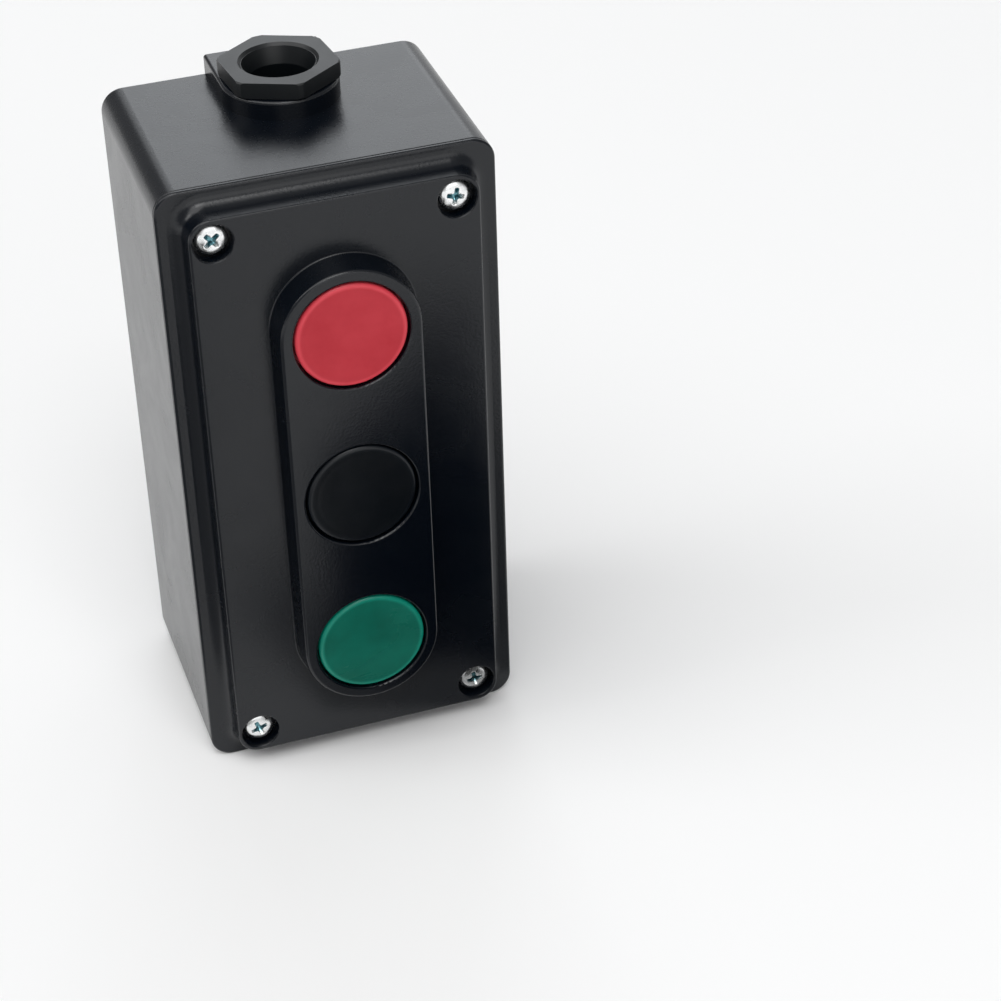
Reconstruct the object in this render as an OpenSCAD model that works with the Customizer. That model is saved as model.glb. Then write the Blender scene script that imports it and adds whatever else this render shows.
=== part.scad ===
// Surface-mounted control box with three flush pushbuttons.
// It stands on its bottom end: X runs across the front, the buttons face -Y,
// and Z runs up the length of the box. The origin is the middle of the base.

/* [Housing] */
// Width across the front
body_w = 72.6; // [70:0.1:90]
// Height from the bottom end to the top end, without the gland
body_h = 146.4; // [144:0.1:190]
// Depth from the back wall to the cover joint
housing_d = 50.5; // [47:0.5:70]
// Thickness of the side and end walls
wall_t = 3; // [2.8:0.1:3.6]
// Thickness of the back wall
back_t = 3; // [2.5:0.1:5]
// Rounding of the four long corners
corner_r = 5; // [4:0.5:7]
// Small rounding around the back perimeter
back_edge_r = 0.8; // [0.4:0.1:1.5]
// Small rounding on both sides of the cover joint
joint_edge_r = 0.3; // [0.2:0.1:0.6]
// Diameter of the corner columns that take the cover screws
column_d = 9.6; // [8.5:0.1:11]
// Distance between the two wall-mounting holes
mount_pitch = 90; // [60:1:100]
// Diameter of the wall-mounting holes
mount_hole_d = 5.2; // [4.2:0.1:6.2]

/* [Cover] */
// How far the cover edge stays inside the housing edge
cover_reveal = 0; // [0:0.1:0.6]
// Thickness of the flange that lies on the housing rim
flange_t = 1.1; // [1:0.1:2]
// Rounding of the flange edge
flange_edge_r = 0.6; // [0.4:0.1:0.7]
// Height of the raised panel above the joint
panel_rise = 7.2; // [7:0.1:10]
// Distance from the sides of the box to the foot of the panel wall
panel_side = 5.1; // [4.6:0.1:5.4]
// Distance from the ends of the box to the foot of the panel wall
panel_end = 3.9; // [3.7:0.1:4.6]
// How far the panel wall leans inwards
panel_draft = 0.3; // [0.1:0.1:0.5]
// Corner rounding of the panel
panel_corner_r = 5; // [3:0.5:6]
// Rounding of the panel edge
panel_edge_r = 0.5; // [0.3:0.1:1]
// Hollow rounding at the foot of the panel wall
cove_r = 3; // [1:0.1:3]
// Plate thickness of the panel
panel_t = 3; // [2.4:0.1:3.6]
// Thickness of the locating ribs inside the housing mouth
rib_t = 1.5; // [1.2:0.1:2]
// Depth of the locating ribs below the joint
rib_d = 2.5; // [1.5:0.1:4]

/* [Button boss] */
// Height of the button boss above the panel
boss_rise = 6.6; // [5:0.1:9]
// Land around each button hole
boss_land = 3.3; // [3:0.1:4]
// Rounding of the boss edge
boss_edge_r = 0.7; // [0.3:0.1:1]
// Hollow rounding at the foot of the boss
boss_cove_r = 0.3; // [0.2:0.1:1]
// How far the boss wall leans inwards
boss_draft = 0.7; // [0.2:0.1:0.8]
// Wall over the hollow spaces between the buttons
boss_t = 2.8; // [2.4:0.1:3.5]

/* [Buttons] */
// Distance between neighbouring buttons
button_pitch = 40; // [39:0.5:42]
// Diameter of the holes in the boss
hole_d = 25.4; // [24.6:0.1:26]
// Rounding of the hole edges
hole_edge_r = 0.4; // [0.2:0.1:0.6]
// Gap around each cap
cap_gap = 0.5; // [0.3:0.1:0.8]
// How far a cap rests below the boss face
cap_setback = 0.2; // [0:0.1:1]
// How far a button travels
travel = 4.5; // [3:0.5:5]
// Thickness of the cap face
cap_t = 2.2; // [1.8:0.1:3]
// Wall thickness of the cap skirt
skirt_t = 1.8; // [1.4:0.1:2.4]
// Width of the raised bead around the cap face
bead_w = 1.2; // [0.8:0.1:1.6]
// Height of the bead above the edge of the cap face
bead_rise = 0.4; // [0.2:0.1:0.5]
// Depth of the dished cap face at its middle
dish_depth = 0.5; // [0.3:0.1:1]
// Width of the flange that keeps the cap behind the hole edge
cap_flange_w = 1.7; // [1.3:0.1:2]
// Thickness of that flange
cap_flange_t = 1.5; // [1.2:0.1:2]
// Depth of the guide bore in front of the flange and seal
lip_t = 4; // [3:0.1:5]
// Thickness of the rubber seal ring above the flange
button_seal_t = 0.8; // [0.5:0.1:1.2]

/* [Cover screws and gasket] */
// Distance from the cover screws to the sides of the box
screw_side = 10.4; // [10.1:0.1:11]
// Distance from the cover screws to the ends of the box
screw_end = 9.6; // [9.3:0.1:11]
// Diameter of the cover screw thread
screw_d = 3.5; // [3:0.1:4]
// Diameter of the cover screw head
screw_head_d = 7.1; // [6.4:0.1:7.6]
// Height of the cover screw head
screw_head_h = 2.4; // [2:0.1:2.8]
// Length of the cover screw below its head
screw_len = 12; // [10:1:14]
// Diameter of the recess around the screw head
recess_d = 8.6; // [8:0.1:9]
// Rounding of the recess edge
recess_edge_r = 0.3; // [0.1:0.1:0.5]
// Depth of the recess below the panel face
recess_depth = 3.6; // [3:0.1:4]
// Outside diameter of the threaded inserts
insert_d = 5.4; // [5:0.1:6]
// Length of the threaded inserts
insert_len = 7; // [5:0.5:9]
// Width of the gasket cord
gasket_w = 1.1; // [0.8:0.1:1.2]
// Depth of the gasket groove in the housing rim
gasket_t = 1.2; // [0.8:0.1:1.6]

/* [Cable gland] */
// Distance from the back of the box to the gland axis
gland_back = 16; // [15:0.1:18]
// Radius of the round side of the gland boss
gland_boss_r = 12.8; // [12.2:0.1:14]
// Height of the gland boss above the top end
gland_boss_h = 4.2; // [3:0.1:6]
// Rounding of the gland boss edge
gland_boss_edge_r = 0.7; // [0.3:0.1:1]
// Diameter of the threaded bore for the gland nut
gland_bore_d = 20; // [19:0.1:20.4]
// Depth of the inner gland collar below the top end
gland_collar_h = 14; // [13:0.5:18]
// Thickness of the ledge that the seal ring rests on
gland_ledge_t = 3; // [2:0.5:4]
// Diameter of the hole in the ledge
gland_ledge_d = 15; // [14:0.5:16]
// Width of the gland nut across its flats
nut_af = 23.4; // [22.4:0.1:24]
// Thickness of the hexagon of the gland nut
nut_h = 3.6; // [3:0.1:6]
// Turn of the hexagon about its axis, in degrees
nut_turn = 24; // [0:1:59]
// Diameter of the cable passage through the gland nut
nut_bore_d = 13.4; // [13.2:0.1:14]
// Diameter of the funnel at the mouth of the passage
nut_mouth_d = 16.4; // [15:0.1:16.6]
// Depth of that funnel
nut_funnel_h = 4.2; // [2:0.1:6]
// Length of the gland nut shank
nut_shank = 8.4; // [8:0.1:10]
// Bore of the rubber seal ring, which takes the largest cable
seal_bore_d = 13; // [10:0.5:14]
// Height of the rubber seal ring
gland_seal_h = 6; // [4:0.5:6]
// Thickness of the pressure washer on the seal ring
gland_washer_t = 1; // [0.8:0.1:1.2]

/* [Contact blocks] */
// Width of a contact block
block_w = 50; // [48:1:54]
// Size of a contact block along the box
block_l = 22; // [21:0.5:24]
// Depth of a contact block
block_d = 20; // [19.5:0.5:24]
// Distance from the cover joint back to the contact blocks
block_drop = 1; // [0.5:0.1:2]
// Thickness of the block wall that guides the plunger
block_roof_t = 3; // [2.5:0.1:3.5]
// Thickness of the lugs for the block screws
lug_t = 4; // [3:0.5:5]
// Distance across the box from the button axis to a block screw
lug_x = 13.5; // [13.2:0.1:15]
// Distance along the box from the button axis to a block screw
lug_y = 14.6; // [14.4:0.1:15.4]
// Diameter of the block screw thread
block_screw_d = 2.9; // [2.5:0.1:3.1]
// Diameter of the block screw head
block_screw_head_d = 5.4; // [4.8:0.1:6]
// Height of the block screw head
block_screw_head_h = 2; // [1.6:0.1:2.4]
// Length of the block screw below its head
block_screw_len = 8.5; // [7.5:0.5:8.5]
// Thickness of the fixed contact strips
strip_t = 1; // [0.8:0.1:1.2]
// Width of the fixed contact strips
strip_w = 8; // [7:0.1:8]
// Thickness of the wall between the two strips of one side
strip_wall = 2; // [1.6:0.1:2.4]
// Distance from the button axis to the terminal screws
terminal_x = 19.8; // [19:0.1:21]
// Diameter of the terminal screw thread
terminal_screw_d = 3.4; // [3:0.1:3.5]
// Diameter of the terminal screw head
terminal_head_d = 6; // [5.4:0.1:6.4]
// Height of the terminal screw head
terminal_head_h = 2.4; // [2:0.1:3]
// Length of the terminal screws behind the strips
terminal_grip = 2; // [1.5:0.1:2.2]
// Thickness of the terminal clamp washers
clamp_t = 1; // [0.8:0.1:1.4]

/* [Plungers and springs] */
// Diameter of the plunger collar in the block
collar_d = 8; // [7:0.1:8.6]
// Diameter of the plunger stem inside the cap hub
stem_d = 5; // [4:0.1:5.4]
// Width of the contact bridge
bridge_w = 8.4; // [7:0.1:8.6]
// Length of the contact bridge
bridge_len = 24; // [22:0.5:25]
// Thickness of the contact bridge
bridge_t = 1.2; // [1:0.1:1.5]
// Diameter of the contact tips
tip_d = 2.8; // [2:0.1:3]
// Height of the contact tips
tip_h = 0.5; // [0.3:0.1:0.8]
// Wire diameter of the return springs
spring_wire = 0.9; // [0.7:0.1:1.1]
// Mean coil diameter of the return springs
spring_d = 13; // [12.4:0.1:14]
// Number of turns of the return springs
spring_turns = 5.5; // [4:0.5:6]
// Wire diameter of the contact springs
contact_wire = 0.5; // [0.4:0.05:0.6]
// Mean coil diameter of the contact springs
contact_spring_d = 4.4; // [3.6:0.1:4.6]
// Number of turns of the contact springs
contact_turns = 5; // [3:0.5:6]
// Length of the contact springs
contact_spring_len = 5.6; // [4.5:0.1:6]

/* [Hidden] */
$fn = 48;
// Seating, guiding and free clearances
slip = 0.05;
guide_gap = 0.3;
free_gap = 0.4;
stop_gap = 0.3;
screw_tip_room = 1.5;
eps = 0.02;

// Levels above the cover joint; the box interior is negative
boss_face = panel_rise + boss_rise;
panel_under = panel_rise - panel_t;
cap_top = boss_face - cap_setback;
lip_under = boss_face - lip_t;
cap_flange_top = lip_under - button_seal_t;
cap_flange_low = cap_flange_top - cap_flange_t;
sleeve_low = cap_flange_low - travel - 2 * stop_gap;
recess_floor = panel_rise - recess_depth;
block_top = -block_drop;
block_low = block_top - block_d;
roof_under = block_top - block_roof_t;
hub_low = block_top + travel + stop_gap;
cap_face = cap_top - bead_rise;
cap_under = cap_face - dish_depth - cap_t;

// The row of contacts below the block roof
cage_top = roof_under - guide_gap;
cage_head_t = 1.7;
bridge_top = cage_top - cage_head_t;
bridge_low = bridge_top - bridge_t;
upper_face = bridge_top + tip_h + slip;
upper_top = upper_face + strip_t;
lower_top = bridge_low - tip_h - travel - slip;
lower_face = lower_top - strip_t;
cage_floor = bridge_low - contact_spring_len;
cage_floor_t = 1.6;
cage_low = cage_floor - cage_floor_t;

// Radii and plan sizes
hole_r = hole_d / 2;
boss_r = hole_r + boss_land;
cap_r = hole_r - cap_gap;
cap_flange_r = cap_r + cap_flange_w;
sleeve_r = cap_flange_r + guide_gap;
hub_r = stem_d / 2 + 2.1;
cover_w = body_w - 2 * cover_reveal;
cover_h = body_h - 2 * cover_reveal;
cover_corner_r = corner_r - cover_reveal;
panel_w = body_w - 2 * panel_side;
panel_h = body_h - 2 * panel_end;
cover_hollow_w = panel_w - 2 * panel_t;
cover_hollow_h = panel_h - 2 * panel_t;
inner_w = body_w - 2 * wall_t;
inner_h = body_h - 2 * wall_t;
inner_r = max(corner_r - wall_t, 0.6);
groove_inset = (wall_t - gasket_w) / 2;
screw_x = body_w / 2 - screw_side;
screw_y = body_h / 2 - screw_end;
nut_r = nut_af / sqrt(3);
seal_low = body_h - gland_collar_h + gland_ledge_t;
washer_low = seal_low + gland_seal_h;
washer_top = washer_low + gland_washer_t;
nut_seat = max(body_h + gland_boss_h + 0.2, washer_top + nut_shank);
cage_wall = 1.5;
cage_y = bridge_w / 2 + free_gap + cage_wall;
chamber_y = cage_y + free_gap;
chamber_x = bridge_len / 2 + 1.5;
cage_x = 3.5;
strip_y = strip_wall / 2 + strip_w / 2;
strip_in = bridge_len / 2 - 3.5;
strip_out = terminal_x + strip_w / 2;
tip_x = bridge_len / 2 - 2.2;
tip_y = strip_wall / 2 + tip_d / 2 + 0.1;
pillar_d = 6.8;

// Depth places in the model frame
total_d = housing_d + boss_face;
joint_y = -total_d / 2 + boss_face;
back_y = total_d / 2;
mid_z = body_h / 2;
gland_y = back_y - gland_back;

// One entry for each button from top to bottom: name, colour, place along the box
BUTTONS = [
    ["red", [0.70, 0.16, 0.20], button_pitch],
    ["black", [0.10, 0.10, 0.11], 0],
    ["green", [0.00, 0.42, 0.34], -button_pitch]
];
// One entry for each cover screw: side, end and turn of its cross recess
COVER_SCREWS = [[-1, 1, 42], [1, 1, -12], [-1, -1, 20], [1, -1, 8]];
BUTTON_PIECES = [
    "button_cap", "button_seal", "plunger", "return_spring", "contact_block",
    "contact_bridge", "contact_spring", "fixed_contacts", "terminal_clamps",
    "terminal_screws", "block_screws"
];
SHELL_PIECES = [
    "housing", "threaded_inserts", "cover_gasket", "cover", "cover_screws",
    "gland_seal_ring", "gland_washer", "gland_nut"
];

// Colours
BLACK_PLASTIC = [0.09, 0.09, 0.10];
DARK_PLASTIC = [0.16, 0.15, 0.15];
MOULDING_BROWN = [0.22, 0.13, 0.09];
ZINC = [0.78, 0.80, 0.80];
STEEL = [0.62, 0.63, 0.65];
BRASS = [0.72, 0.56, 0.26];
SILVER = [0.83, 0.83, 0.80];
RUBBER = [0.05, 0.05, 0.05];

// Puts a shape drawn with +Z towards the viewer onto the cover joint, centred on the front
module on_front() {
    translate([0, joint_y, mid_z]) rotate([90, 0, 0]) children();
}

// Rectangle with true round corners
module rounded_rect(w, h, r) {
    union() {
        square([w - 2 * r, h], center = true);
        square([w, h - 2 * r], center = true);
        for (x = [-1, 1], y = [-1, 1])
            translate([x * (w / 2 - r), y * (h / 2 - r)]) circle(r);
    }
}

// Carries a profile around a rounded rectangle. The profile's X is the
// distance outwards from the corner centres and its Y is the height.
module around_rect(w, h, r) {
    for (i = [0:3]) {
        along = (i % 2 == 0) ? h - 2 * r : w - 2 * r;
        out = (i % 2 == 0) ? w / 2 - r : h / 2 - r;
        if (along > eps)
            rotate([0, 0, 90 * i])
                translate([out, along / 2, 0])
                    rotate([90, 0, 0]) linear_extrude(along) children();
    }
    for (x = [-1, 1], y = [-1, 1]) {
        start = (x > 0) ? ((y > 0) ? 0 : 270) : ((y > 0) ? 90 : 180);
        translate([x * (w / 2 - r), y * (h / 2 - r), 0])
            rotate([0, 0, start]) rotate_extrude(angle = 90) children();
    }
}

// What has to be cut off a square outer edge to round it
module edge_round_profile(r, level, round_r) {
    difference() {
        translate([r - round_r, level - round_r]) square([round_r + 1, round_r + 1]);
        translate([r - round_r, level - round_r]) circle(round_r);
    }
}

// How far inside the foot of a leaning wall its rounded upper edge begins
function flank_width(rise, draft, edge_r) =
    ((rise - edge_r) * draft + edge_r * norm([draft, rise])) / rise;

// Section of a leaning wall between two levels, with a hollow rounding at its
// foot and a rounded upper edge. The wall line meets the low level at r.
module flank_profile(r, low, top, draft, foot_r, edge_r) {
    rise = top - low;
    slant = norm([draft, rise]);
    foot_x = r + foot_r * (slant - draft) / rise;
    edge_x = r - flank_width(rise, draft, edge_r);
    difference() {
        polygon([
            [edge_x - 0.5, low - 0.3], [foot_x, low - 0.3], [foot_x, low],
            [foot_x - foot_r * rise / slant, low + foot_r * (1 - draft / slant)],
            [edge_x + edge_r * rise / slant, top - edge_r * (1 - draft / slant)],
            [edge_x, top], [edge_x - 0.5, top]
        ]);
        translate([foot_x, low + foot_r]) circle(foot_r);
    }
    translate([edge_x, top - edge_r]) circle(edge_r);
}

// What has to be cut off the mouth of a hole to round its edge
module hole_mouth(r, level, round_r) {
    rotate_extrude() difference() {
        translate([r - 1, level - round_r]) square([1 + round_r, round_r + 1]);
        translate([r + round_r, level - round_r]) circle(round_r);
    }
}

// A round bar with a small chamfer at both ends
module bevelled_bar(d, len, bevel) {
    rotate_extrude() polygon([
        [0, 0], [d / 2 - bevel, 0], [d / 2, bevel],
        [d / 2, len - bevel], [d / 2 - bevel, len], [0, len]
    ]);
}

module at_screws() {
    for (x = [-1, 1], y = [-1, 1]) translate([x * screw_x, y * screw_y, 0]) children();
}

module at_block_lugs() {
    for (s = [-1, 1]) translate([s * lug_x, s * lug_y, 0]) children();
}

module at_buttons() {
    for (b = BUTTONS) translate([0, b[2], 0]) children();
}

// Four terminals of one block: the upper strips lie on the +Y side
module at_upper_terminals() {
    for (x = [-1, 1]) translate([x * terminal_x, strip_y, 0]) children();
}

module at_lower_terminals() {
    for (x = [-1, 1]) translate([x * terminal_x, -strip_y, 0]) children();
}

// Housing

module housing_shell() {
    difference() {
        translate([0, 0, -housing_d]) linear_extrude(housing_d)
            rounded_rect(body_w, body_h, corner_r);
        around_rect(body_w, body_h, corner_r)
            mirror([0, 1]) edge_round_profile(corner_r, housing_d, back_edge_r);
        around_rect(body_w, body_h, corner_r)
            edge_round_profile(corner_r, 0, joint_edge_r);
        translate([0, 0, -housing_d + back_t]) linear_extrude(housing_d)
            rounded_rect(inner_w, inner_h, inner_r);
    }
}

// Corner columns with the webs that tie them to both walls
module housing_columns() {
    web = 3;
    low = -housing_d + back_t - eps;
    top = -gasket_t;
    translate([0, 0, low]) linear_extrude(top - low)
        for (x = [-1, 1], y = [-1, 1]) translate([x * screw_x, y * screw_y]) {
            circle(d = column_d);
            translate([x * (screw_side - wall_t / 2) / 2, 0])
                square([screw_side - wall_t / 2, web], center = true);
            translate([0, y * (screw_end - wall_t / 2) / 2])
                square([web, screw_end - wall_t / 2], center = true);
        }
    translate([0, 0, top - eps]) linear_extrude(gasket_t + eps)
        for (x = [-1, 1], y = [-1, 1]) translate([x * screw_x, y * screw_y])
            circle(d = column_d);
}

// The D-shaped outline around the gland axis, flat on the back plane
module gland_outline(r) {
    circle(r);
    translate([-r, 0]) square([2 * r, gland_back]);
}

module gland_boss() {
    outside_h = gland_boss_h;
    translate([0, gland_y, body_h]) difference() {
        translate([0, 0, -wall_t - eps]) linear_extrude(outside_h + wall_t + eps)
            gland_outline(gland_boss_r);
        rotate([0, 0, 180]) rotate_extrude(angle = 180)
            edge_round_profile(gland_boss_r, outside_h, gland_boss_edge_r);
        for (side = [0, 1]) mirror([side, 0, 0])
            translate([0, gland_back + eps, 0]) rotate([90, 0, 0])
                linear_extrude(gland_back + eps)
                    edge_round_profile(gland_boss_r, outside_h, gland_boss_edge_r);
    }
}

// The part of the collar inside the box stops at the back wall
module gland_collar() {
    translate([0, gland_y, body_h - gland_collar_h])
        linear_extrude(gland_collar_h - wall_t / 2) difference() {
            gland_outline(gland_boss_r);
            translate([-gland_boss_r - 1, gland_back - back_t / 2])
                square([2 * gland_boss_r + 2, back_t + 1]);
        }
}

module housing() color(BLACK_PLASTIC) {
    difference() {
        union() {
            on_front() housing_shell();
            on_front() housing_columns();
            gland_boss();
            gland_collar();
            // rings that stiffen the wall-mounting holes
            on_front() for (y = [-1, 1])
                translate([0, y * mount_pitch / 2, -housing_d + back_t - eps])
                    cylinder(h = 1.5, d = mount_hole_d + 5);
        }
        // gasket groove in the rim
        on_front() translate([0, 0, -gasket_t]) linear_extrude(gasket_t + 1) difference() {
            rounded_rect(body_w - 2 * groove_inset + 2 * slip,
                body_h - 2 * groove_inset + 2 * slip, corner_r - groove_inset + slip);
            rounded_rect(body_w - 2 * (groove_inset + gasket_w + slip),
                body_h - 2 * (groove_inset + gasket_w + slip),
                corner_r - groove_inset - gasket_w - slip);
        }
        // seats of the threaded inserts, with room for the screw tips behind them
        on_front() at_screws() {
            translate([0, 0, -0.5 - insert_len - slip]) cylinder(h = insert_len + 2, d = insert_d);
            translate([0, 0, recess_floor - screw_len - screw_tip_room])
                cylinder(h = screw_len, d = screw_d + 0.4);
        }
        // wall-mounting holes
        on_front() for (y = [-1, 1])
            translate([0, y * mount_pitch / 2, -housing_d - 1])
                cylinder(h = back_t + 4, d = mount_hole_d);
        // gland bore down to its ledge, and the hole through the ledge
        translate([0, gland_y, seal_low]) cylinder(h = gland_collar_h + gland_boss_h, d = gland_bore_d);
        translate([0, gland_y, body_h - gland_collar_h - 1])
            cylinder(h = gland_collar_h, d = gland_ledge_d);
    }
}

module threaded_inserts() color(BRASS) on_front() at_screws()
    translate([0, 0, -0.5 - insert_len]) difference() {
        bevelled_bar(insert_d, insert_len, 0.3);
        translate([0, 0, -1]) cylinder(h = insert_len + 2, d = screw_d + 2 * slip);
    }

module cover_gasket() color(RUBBER) on_front() translate([0, 0, -gasket_t])
    linear_extrude(gasket_t) difference() {
        rounded_rect(body_w - 2 * groove_inset, body_h - 2 * groove_inset, corner_r - groove_inset);
        rounded_rect(body_w - 2 * (groove_inset + gasket_w),
            body_h - 2 * (groove_inset + gasket_w), corner_r - groove_inset - gasket_w);
    }

// Cover

// Outline of the button boss, one round end over each outer button
module boss_outline(r) {
    union() {
        square([2 * r, 2 * button_pitch], center = true);
        for (y = [-1, 1]) translate([0, y * button_pitch]) circle(r);
    }
}

module cover_outside() {
    // flange
    difference() {
        linear_extrude(flange_t) rounded_rect(cover_w, cover_h, cover_corner_r);
        around_rect(cover_w, cover_h, cover_corner_r) {
            edge_round_profile(cover_corner_r, flange_t, flange_edge_r);
            mirror([0, 1]) edge_round_profile(cover_corner_r, 0, joint_edge_r);
        }
    }
    // raised panel
    panel_flank = flank_width(panel_rise - flange_t, panel_draft, panel_edge_r);
    linear_extrude(panel_rise)
        rounded_rect(panel_w - 2 * panel_flank, panel_h - 2 * panel_flank, panel_corner_r - panel_flank);
    around_rect(panel_w, panel_h, panel_corner_r)
        flank_profile(panel_corner_r, flange_t, panel_rise, panel_draft, cove_r, panel_edge_r);
    // button boss
    linear_extrude(boss_face) boss_outline(boss_r - flank_width(boss_rise, boss_draft, boss_edge_r));
    around_rect(2 * boss_r, 2 * button_pitch + 2 * boss_r, boss_r)
        flank_profile(boss_r, panel_rise, boss_face, boss_draft, boss_cove_r, boss_edge_r);
}

// The hollow under the panel leaves the corners solid around the screws
module cover_hollow() {
    pad_room = recess_d / 2 + 1.4 - panel_t;
    pad_x = screw_side - panel_side + pad_room;
    pad_y = screw_end - panel_end + pad_room;
    translate([0, 0, -1]) linear_extrude(panel_under + 1) difference() {
        rounded_rect(cover_hollow_w, cover_hollow_h, 2);
        for (x = [-1, 1], y = [-1, 1])
            translate([x * cover_hollow_w / 2, y * cover_hollow_h / 2])
                rounded_rect(2 * pad_x, 2 * pad_y, 2);
    }
}

// The spaces between the button bores, open to the inside
module boss_pockets() {
    translate([0, 0, panel_under - 1]) linear_extrude(boss_face - boss_t - panel_under + 1)
        difference() {
            square([2 * (boss_r - boss_t), 2 * button_pitch], center = true);
            at_buttons() circle(boss_r - 0.6);
        }
}

module locating_ribs() {
    side_x = inner_w / 2 - free_gap - rib_t / 2;
    end_y = inner_h / 2 - free_gap - rib_t / 2;
    side_len = 2 * (screw_y - column_d / 2 - 2);
    end_len = 2 * (screw_x - column_d / 2 - 2);
    translate([0, 0, -rib_d]) linear_extrude(rib_d + flange_t / 2) {
        for (x = [-1, 1]) translate([x * side_x, 0]) square([rib_t, side_len], center = true);
        for (y = [-1, 1]) translate([0, y * end_y]) square([end_len, rib_t], center = true);
    }
}

module cover() color(BLACK_PLASTIC) on_front() {
    difference() {
        union() {
            difference() {
                cover_outside();
                cover_hollow();
                boss_pockets();
            }
            // guide sleeves of the buttons below the panel
            at_buttons() translate([0, 0, sleeve_low])
                cylinder(h = panel_under - sleeve_low + 0.5, r = boss_r);
            // pillars that carry the contact blocks
            at_buttons() at_block_lugs() translate([0, 0, block_top])
                cylinder(h = panel_under - block_top + 0.5, d = pillar_d);
            locating_ribs();
        }
        at_buttons() {
            translate([0, 0, -1]) cylinder(h = boss_face + 2, r = hole_r);
            translate([0, 0, sleeve_low - 1]) cylinder(h = lip_under - sleeve_low + 1, r = sleeve_r);
            hole_mouth(hole_r, boss_face, hole_edge_r);
            at_block_lugs() translate([0, 0, block_top - lug_t])
                cylinder(h = block_screw_len + screw_tip_room, d = block_screw_d + 2 * slip);
        }
        at_screws() {
            translate([0, 0, recess_floor]) cylinder(h = recess_depth + 1, d = recess_d);
            translate([0, 0, -1]) cylinder(h = recess_floor + 2, d = screw_d + 0.5);
            hole_mouth(recess_d / 2, panel_rise, recess_edge_r);
        }
    }
}

// Pan-head screw with a cross recess, its head underside at zero
module pan_screw(d, head_d, head_h, len, slot_w) {
    slot_len = head_d * 0.56;
    difference() {
        union() {
            translate([0, 0, -len]) bevelled_bar(d, len + 0.5, 0.4);
            rotate_extrude() intersection() {
                union() {
                    square([head_d / 2, head_h * 0.45]);
                    translate([0, head_h - head_d * 0.75]) intersection() {
                        circle(head_d * 0.75);
                        translate([0, head_d * 0.3]) square([head_d / 2, head_d]);
                    }
                }
                square([head_d / 2, head_h]);
            }
        }
        for (a = [0, 90]) rotate([0, 0, a])
            translate([0, 0, head_h]) cube([slot_len, slot_w, head_h * 1.2], center = true);
    }
}

module cover_screws() color(ZINC) on_front()
    for (s = COVER_SCREWS) translate([s[0] * screw_x, s[1] * screw_y, recess_floor])
        rotate([0, 0, s[2]]) pan_screw(screw_d, screw_head_d, screw_head_h, screw_len, 1);

// Cable gland

module gland_seal_ring() color(RUBBER) translate([0, gland_y, seal_low]) difference() {
    bevelled_bar(gland_bore_d - guide_gap, gland_seal_h, 0.5);
    translate([0, 0, -1]) cylinder(h = gland_seal_h + 2, d = seal_bore_d);
}

module gland_washer() color(STEEL) translate([0, gland_y, washer_low]) difference() {
    cylinder(h = gland_washer_t, d = gland_bore_d - guide_gap);
    translate([0, 0, -1]) cylinder(h = gland_washer_t + 2, d = seal_bore_d + 1.4);
}

module gland_nut() color(BLACK_PLASTIC) translate([0, gland_y, nut_seat]) difference() {
    union() {
        intersection() {
            rotate([0, 0, -nut_turn]) cylinder(h = nut_h, r = nut_r, $fn = 6);
            bevelled_bar(2 * nut_r - 0.6, nut_h, 0.3);
        }
        shank = nut_seat - washer_top;
        translate([0, 0, -shank]) bevelled_bar(gland_bore_d - 2 * slip, shank + 1, 0.6);
    }
    translate([0, 0, -nut_seat]) cylinder(h = 2 * nut_seat, d = nut_bore_d);
    // funnel at the mouth, with a small chamfer around it
    funnel_gain = (nut_mouth_d - nut_bore_d) / nut_funnel_h;
    translate([0, 0, nut_h - nut_funnel_h])
        cylinder(h = nut_funnel_h + 1, d1 = nut_bore_d, d2 = nut_mouth_d + funnel_gain);
    translate([0, 0, nut_h - 0.6]) cylinder(h = 1.2, d1 = nut_mouth_d - 0.2, d2 = nut_mouth_d + 2.2);
}

// Buttons

// Half section of a cap: dished face inside a bead, skirt and flange
module cap_section() {
    bead_r = bead_w / 2;
    translate([0, cap_under]) square([cap_r, cap_top - bead_r - cap_under]);
    translate([0, cap_under]) square([cap_r - bead_r, cap_face - cap_under]);
    translate([cap_r - bead_r, cap_top - bead_r]) circle(bead_r);
    translate([cap_r - skirt_t, cap_flange_low]) square([skirt_t, cap_under - cap_flange_low + eps]);
    translate([cap_r - skirt_t, cap_flange_low]) square([skirt_t + cap_flange_w, cap_flange_t]);
}

module button_cap(b) color(b[1]) on_front() translate([0, b[2], 0]) {
    face_r = cap_r - bead_w;
    dish_r = (face_r * face_r + dish_depth * dish_depth) / (2 * dish_depth);
    difference() {
        union() {
            rotate_extrude() cap_section();
            translate([0, 0, hub_low]) cylinder(h = cap_under - hub_low + eps, r = hub_r);
        }
        // dished face inside the bead
        intersection() {
            translate([0, 0, cap_face - dish_depth + dish_r]) sphere(dish_r, $fn = 200);
            translate([0, 0, cap_face - dish_depth - 1]) cylinder(h = dish_depth + 1.2, r = face_r);
        }
        // hole for the plunger stem
        translate([0, 0, hub_low - 1])
            cylinder(h = cap_under - hub_low + 1 - free_gap, d = stem_d + 2 * slip);
    }
}

module button_seal(b) color(RUBBER) on_front() translate([0, b[2], lip_under - button_seal_t])
    difference() {
        cylinder(h = button_seal_t, r = sleeve_r - slip);
        translate([0, 0, -1]) cylinder(h = button_seal_t + 2, r = hole_r);
    }

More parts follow.
